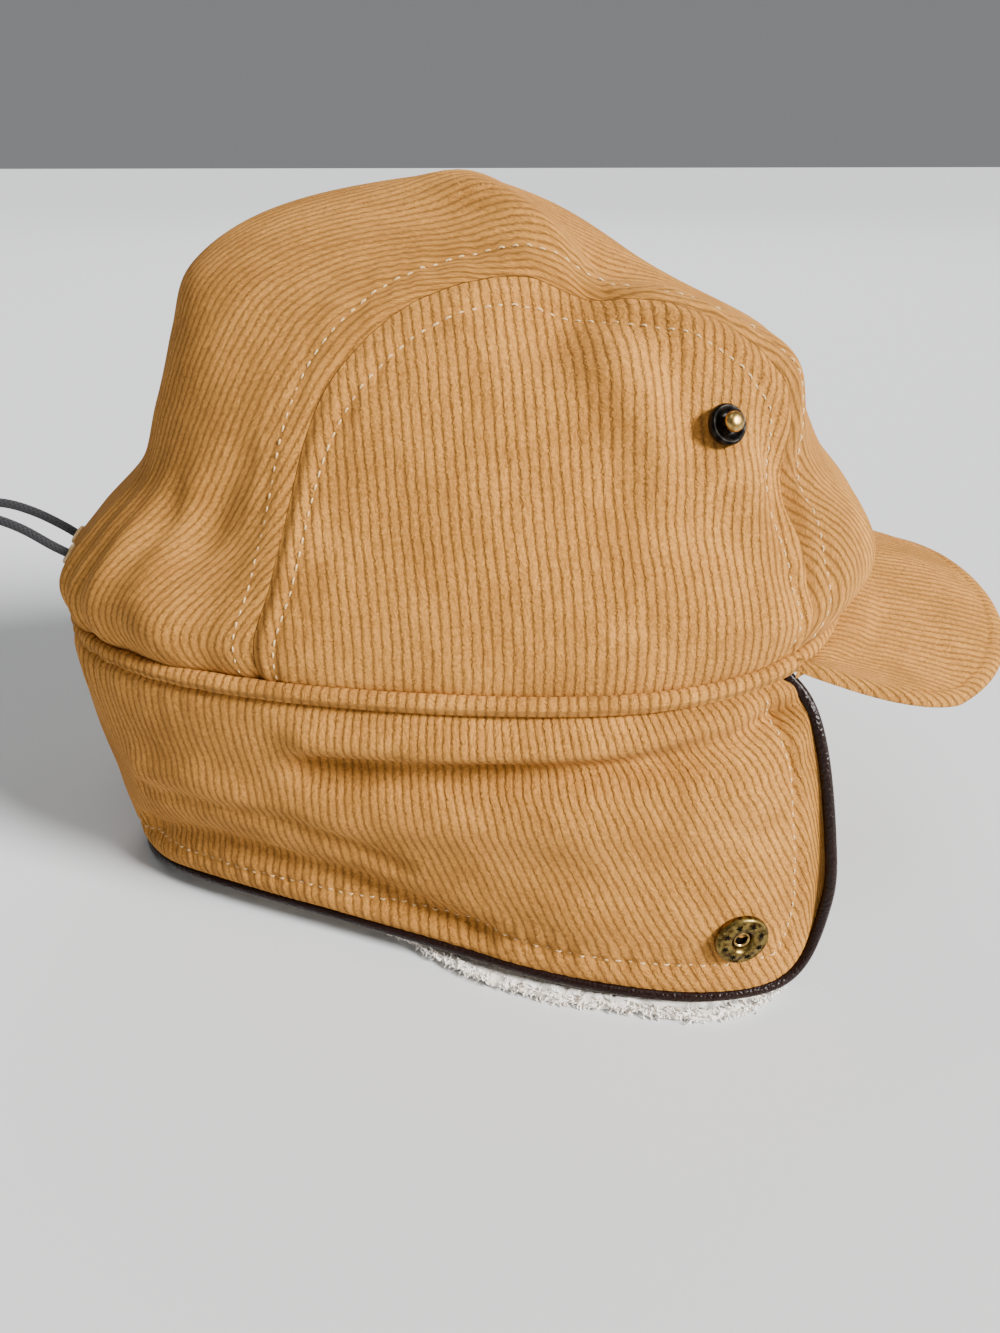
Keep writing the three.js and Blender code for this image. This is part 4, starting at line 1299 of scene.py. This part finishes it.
def socket(word, turn):
    ring = turned_part("socket_ring", SOCKET_RING, MILLING, antique_brass)
    mill(ring, 5.95, 6.6, 0.22)
    spring = turned_part("socket_spring", SPRING, 48, rubbed_brass)
    # A near-black disc: painted shadow at the bottom of the socket's hole.
    bottom = turned_part("socket_bottom", [(0, 0.12), (2.6, 0.12), (2.6, 0.02)], 32, stain_and_shadow_black)
    stars = [star(2 * math.pi * number / STARS) for number in range(STARS)]
    place, normal = seat(flap_point, (turn, SOCKET_SPOT[1]), (4.2, 0.085))
    return set_in_place(
        [ring, spring, bottom, *stars], f"snap_socket_{word}_brass", place - normal * SUNK,
        normal, SOCKET_SPIN, "snap_brass", f"snap_socket_{word}",
    )


socket("right", SOCKET_SPOT[0])
socket("left", 360 - SOCKET_SPOT[0])

# %% Stud
STUD_SPOT = (0.342, -0.468)  # round chart
STUD_RING = [
    (0.0, 0.0), (4.5, 0.0), (4.7, 0.25), (4.7, 0.9), (4.5, 1.4), (4.1, 1.65), (3.8, 1.62),
    (3.1, 1.3), (2.5, 1.1), (2.2, 1.05), (0.0, 1.05),
]
STUD_BALL = [
    (1.75, 1.0), (1.7, 1.9), (1.85, 2.3), (2.2, 2.75), (2.35, 3.3), (2.25, 3.9), (1.85, 4.4),
    (1.2, 4.72), (0.6, 4.8), (0.0, 4.82),
]


def stud(word, side):
    ring = turned_part("stud_ring", STUD_RING, MILLING, black_brass)
    mill(ring, 2.8, 4.4, 0.3)
    ball = turned_part("stud_ball", STUD_BALL, 48, rubbed_brass)
    spot = (STUD_SPOT[0], side * STUD_SPOT[1])
    place, normal = seat(crown_point, spot, (0.055, 0.055))
    return set_in_place(
        [ring, ball], f"snap_stud_{word}_metal", place - normal * SUNK, normal, 0,
        "snap_dark", f"snap_stud_{word}",
    )


stud("right", 1)
stud("left", -1)

# %% [markdown]
# ## Thread
#
# Rows of topstitching in cream thread run beside both crown seams and inside the flap's edge. A
# lockstitch shows as short, slightly twisted dashes that sink into the pile at both ends, so each
# stitch is a small arched tube laid on the cloth. One row is one piece.

# %% Thread material
# Spun polyester thread has a soft lustre and a visible twist.
thread, thread_tree, thread_shader = new_material(
    "spun_polyester_thread_cream", Roughness=0.6, Sheen_Weight=0.3
)
twist_map = add_node(thread_tree, "ShaderNodeUVMap", uv_map="cloth").outputs[0]
twist_spot = add_node(
    thread_tree, "ShaderNodeMapping", {"Vector": twist_map, "Scale": (6, 1, 1)}
).outputs[0]
twist = add_node(
    thread_tree, "ShaderNodeTexWave", {"Vector": twist_spot, "Scale": 1.2},
    bands_direction="DIAGONAL",
).outputs["Fac"]
tint(thread_tree, thread_shader, twist, "C0914E", "EACB90")
print("thread ready")

# %% Rows of stitches
STITCH_PITCH = 3.1
STITCH_LENGTH = 2.1
THREAD = 0.23  # radius


def stitch_row(name, line, normals, sunk=0.1):
    """Stitches along a line of points on the cloth."""
    run = run_of(line)
    count = int(run[-1] / STITCH_PITCH)
    points, spots, faces = [], [], []
    sewing = np.random.default_rng(count)  # seeded, so each run sews the same
    for number in range(count):
        length = STITCH_LENGTH * sewing.uniform(0.75, 1.08)
        at = (number + 0.5) * STITCH_PITCH + np.linspace(-0.5, 0.5, 6) * length
        place = np.stack([np.interp(at, run, line[:, i]) for i in range(3)], axis=1)
        out = np.stack([np.interp(at, run, normals[:, i]) for i in range(3)], axis=1)
        arch = np.array([-0.5, 0.1, 0.32, 0.32, 0.1, -0.5]) - sunk - sewing.uniform(0, 0.2)
        thin = THREAD * np.array([0.5, 0.95, 1, 1, 0.95, 0.5])
        rings, pattern = tube_rings(place + out * arch[:, None], thin, 6)
        faces += ring_faces(6, 6, len(points) * 36)
        points.append(rings)
        spots.append(pattern)
    piece = mesh_piece(name, np.concatenate(points), faces, np.concatenate(spots), smooth=70)
    piece.data.materials.append(thread)
    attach(piece, "root")
    print(f"{name}: {count} stitches")
    return piece


seam_step = np.gradient(seam_line, axis=0)
seam_side = unit(np.stack([-seam_step[:, 1], seam_step[:, 0]], axis=1))
for word, mirror in (("right", 1), ("left", -1)):
    for row, sideways in (("strip", 1), ("panel", -1)):
        spots = seam_line + seam_side * sideways * STITCH_AWAY / HEAD_SPAN
        spots = spots[np.hypot(spots[:, 0], spots[:, 1]) < CROWN_EDGE - 0.01][::2]
        place = (spots[:, 0], spots[:, 1] * mirror)
        stitch_row(f"topstitch_{row}_{word}", crown_surface(*place), crown_normal(*place))

# %% Flap stitches
# The row inside the flap's edge keeps one distance from the piping: down the front edge, along
# the hem and up again.
CORNER_TURN = 62  # plan angle where the row has turned from the front edge to the hem


def flap_row():
    turn_share = np.linspace(0, 1, 900)
    drop_share = np.linspace(0.02, 1, 160)
    turn = FLAP_START + (360 - 2 * FLAP_START) * turn_share[None] + 0 * drop_share[:, None]
    drop = drop_share[:, None] * drop_above(turn, CLOTH_FOOT)
    inside = distance_to_line(flap_point(turn, drop), piping_line[::3])
    half = inside.shape[1] // 2
    front, hem_part = [], []
    for i in range(len(drop_share)):
        reached = np.nonzero(inside[i, :half] > FLAP_STITCH)[0]
        if len(reached) and turn[i, reached[0]] < CORNER_TURN:
            front.append((turn[i, reached[0]], drop[i, reached[0]]))
    for k in range(inside.shape[1]):
        reached = np.nonzero(inside[:, k] > FLAP_STITCH)[0]
        if len(reached) and CORNER_TURN <= turn[0, k] <= 360 - CORNER_TURN:
            hem_part.append((turn[reached[-1], k], drop[reached[-1], k]))
    back_up = [(360 - t, d) for t, d in reversed(front)]
    return np.array(front + hem_part + back_up)


place = tuple(flap_row().T)
widest = np.linalg.norm(np.diff(flap_point(*place), axis=0), axis=1).max()
print(f"flap row: {len(place[0])} places, widest step {widest:.1f} mm")
row_points = lifted(flap_point, flap_normal, *place, flap_relief(*place))
stitch_row("topstitch_flap", row_points, flap_normal(*place))

# %% [markdown]
# ## Finish of the cord and its lock
#
# The elastic is a rubber core in a fine black braid; the lock is moulded black plastic. Each
# strand leaves the crown through a small hole bound with thread.


# %% Cord finish
def braid(name):
    made, tree, shader = new_material(
        name, Roughness=0.7, Specular_IOR_Level=0.3, Sheen_Weight=0.15
    )
    flat = add_node(tree, "ShaderNodeUVMap", uv_map="cloth").outputs[0]
    waves = []
    for tilt in (0.8, -0.8):
        placed = {"Vector": flat, "Rotation": (0, 0, tilt), "Scale": (1, 0.8, 1)}
        turned = add_node(tree, "ShaderNodeMapping", placed).outputs[0]
        wave = add_node(tree, "ShaderNodeTexWave", {"Vector": turned, "Scale": 3.6})
        waves.append(wave.outputs["Fac"])
    woven = add_node(
        tree, "ShaderNodeMath", dict(enumerate(waves)), operation="MAXIMUM"
    ).outputs[0]
    tint(tree, shader, woven, "050506", "1C1C1F")
    emboss(tree, shader, woven, 0.00018, 0.8)
    return made


black_braid = braid("polyester_braid_over_rubber_black")
drawcord.data.materials.append(black_braid)


# Acetal is a hard, slippery plastic; spark-eroded moulds leave it with a fine, even dullness.
moulded, moulded_tree, moulded_shader = new_material(
    "moulded_acetal_black", Roughness=0.42, Specular_IOR_Level=0.45
)
moulded_shader.inputs["Base Color"].default_value = linear("0D0D0E")
moulded_spot = add_node(moulded_tree, "ShaderNodeTexCoord").outputs["Object"]
eroded = noise_at(moulded_tree, moulded_spot, 2600.0, 2.0)
emboss(moulded_tree, moulded_shader, eroded, 0.00006, 0.5)
lock = bpy.data.objects["cord_lock"]
lock.data.materials.clear()
lock.data.materials.append(moulded)
print("cord and lock finished")


# %% Bound holes
def bound_hole(word, side):
    """A ring of thread round the cord where it leaves the cloth."""
    spot = [np.array(HOLE_SPOT[0]), np.array(side * HOLE_SPOT[1])]
    middle, out = crown_surface(*spot), crown_normal(*spot)
    across = unit(np.cross(out, (0, 0, 1)))
    up = np.cross(across, out)
    angles = np.linspace(0, 2 * np.pi, 97)[:-1]
    loop = np.outer(np.cos(angles), across) * 2.0 + np.outer(np.sin(angles), up) * 2.4
    loop = loop + middle + out * 0.25 + np.outer(0.12 * np.sin(angles * 24), out)
    loop = np.vstack([loop, loop[:1]])
    strands = 0.55 + 0.1 * np.cos(np.linspace(0, 48 * np.pi, 97))
    ring = tube(f"bound_hole_{word}_thread", loop, strands, sides=8)
    ring.data.materials.append(thread)
    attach(ring, "root")


for word, side in (("right", -1), ("left", 1)):
    bound_hole(word, side)
print("two bound holes")
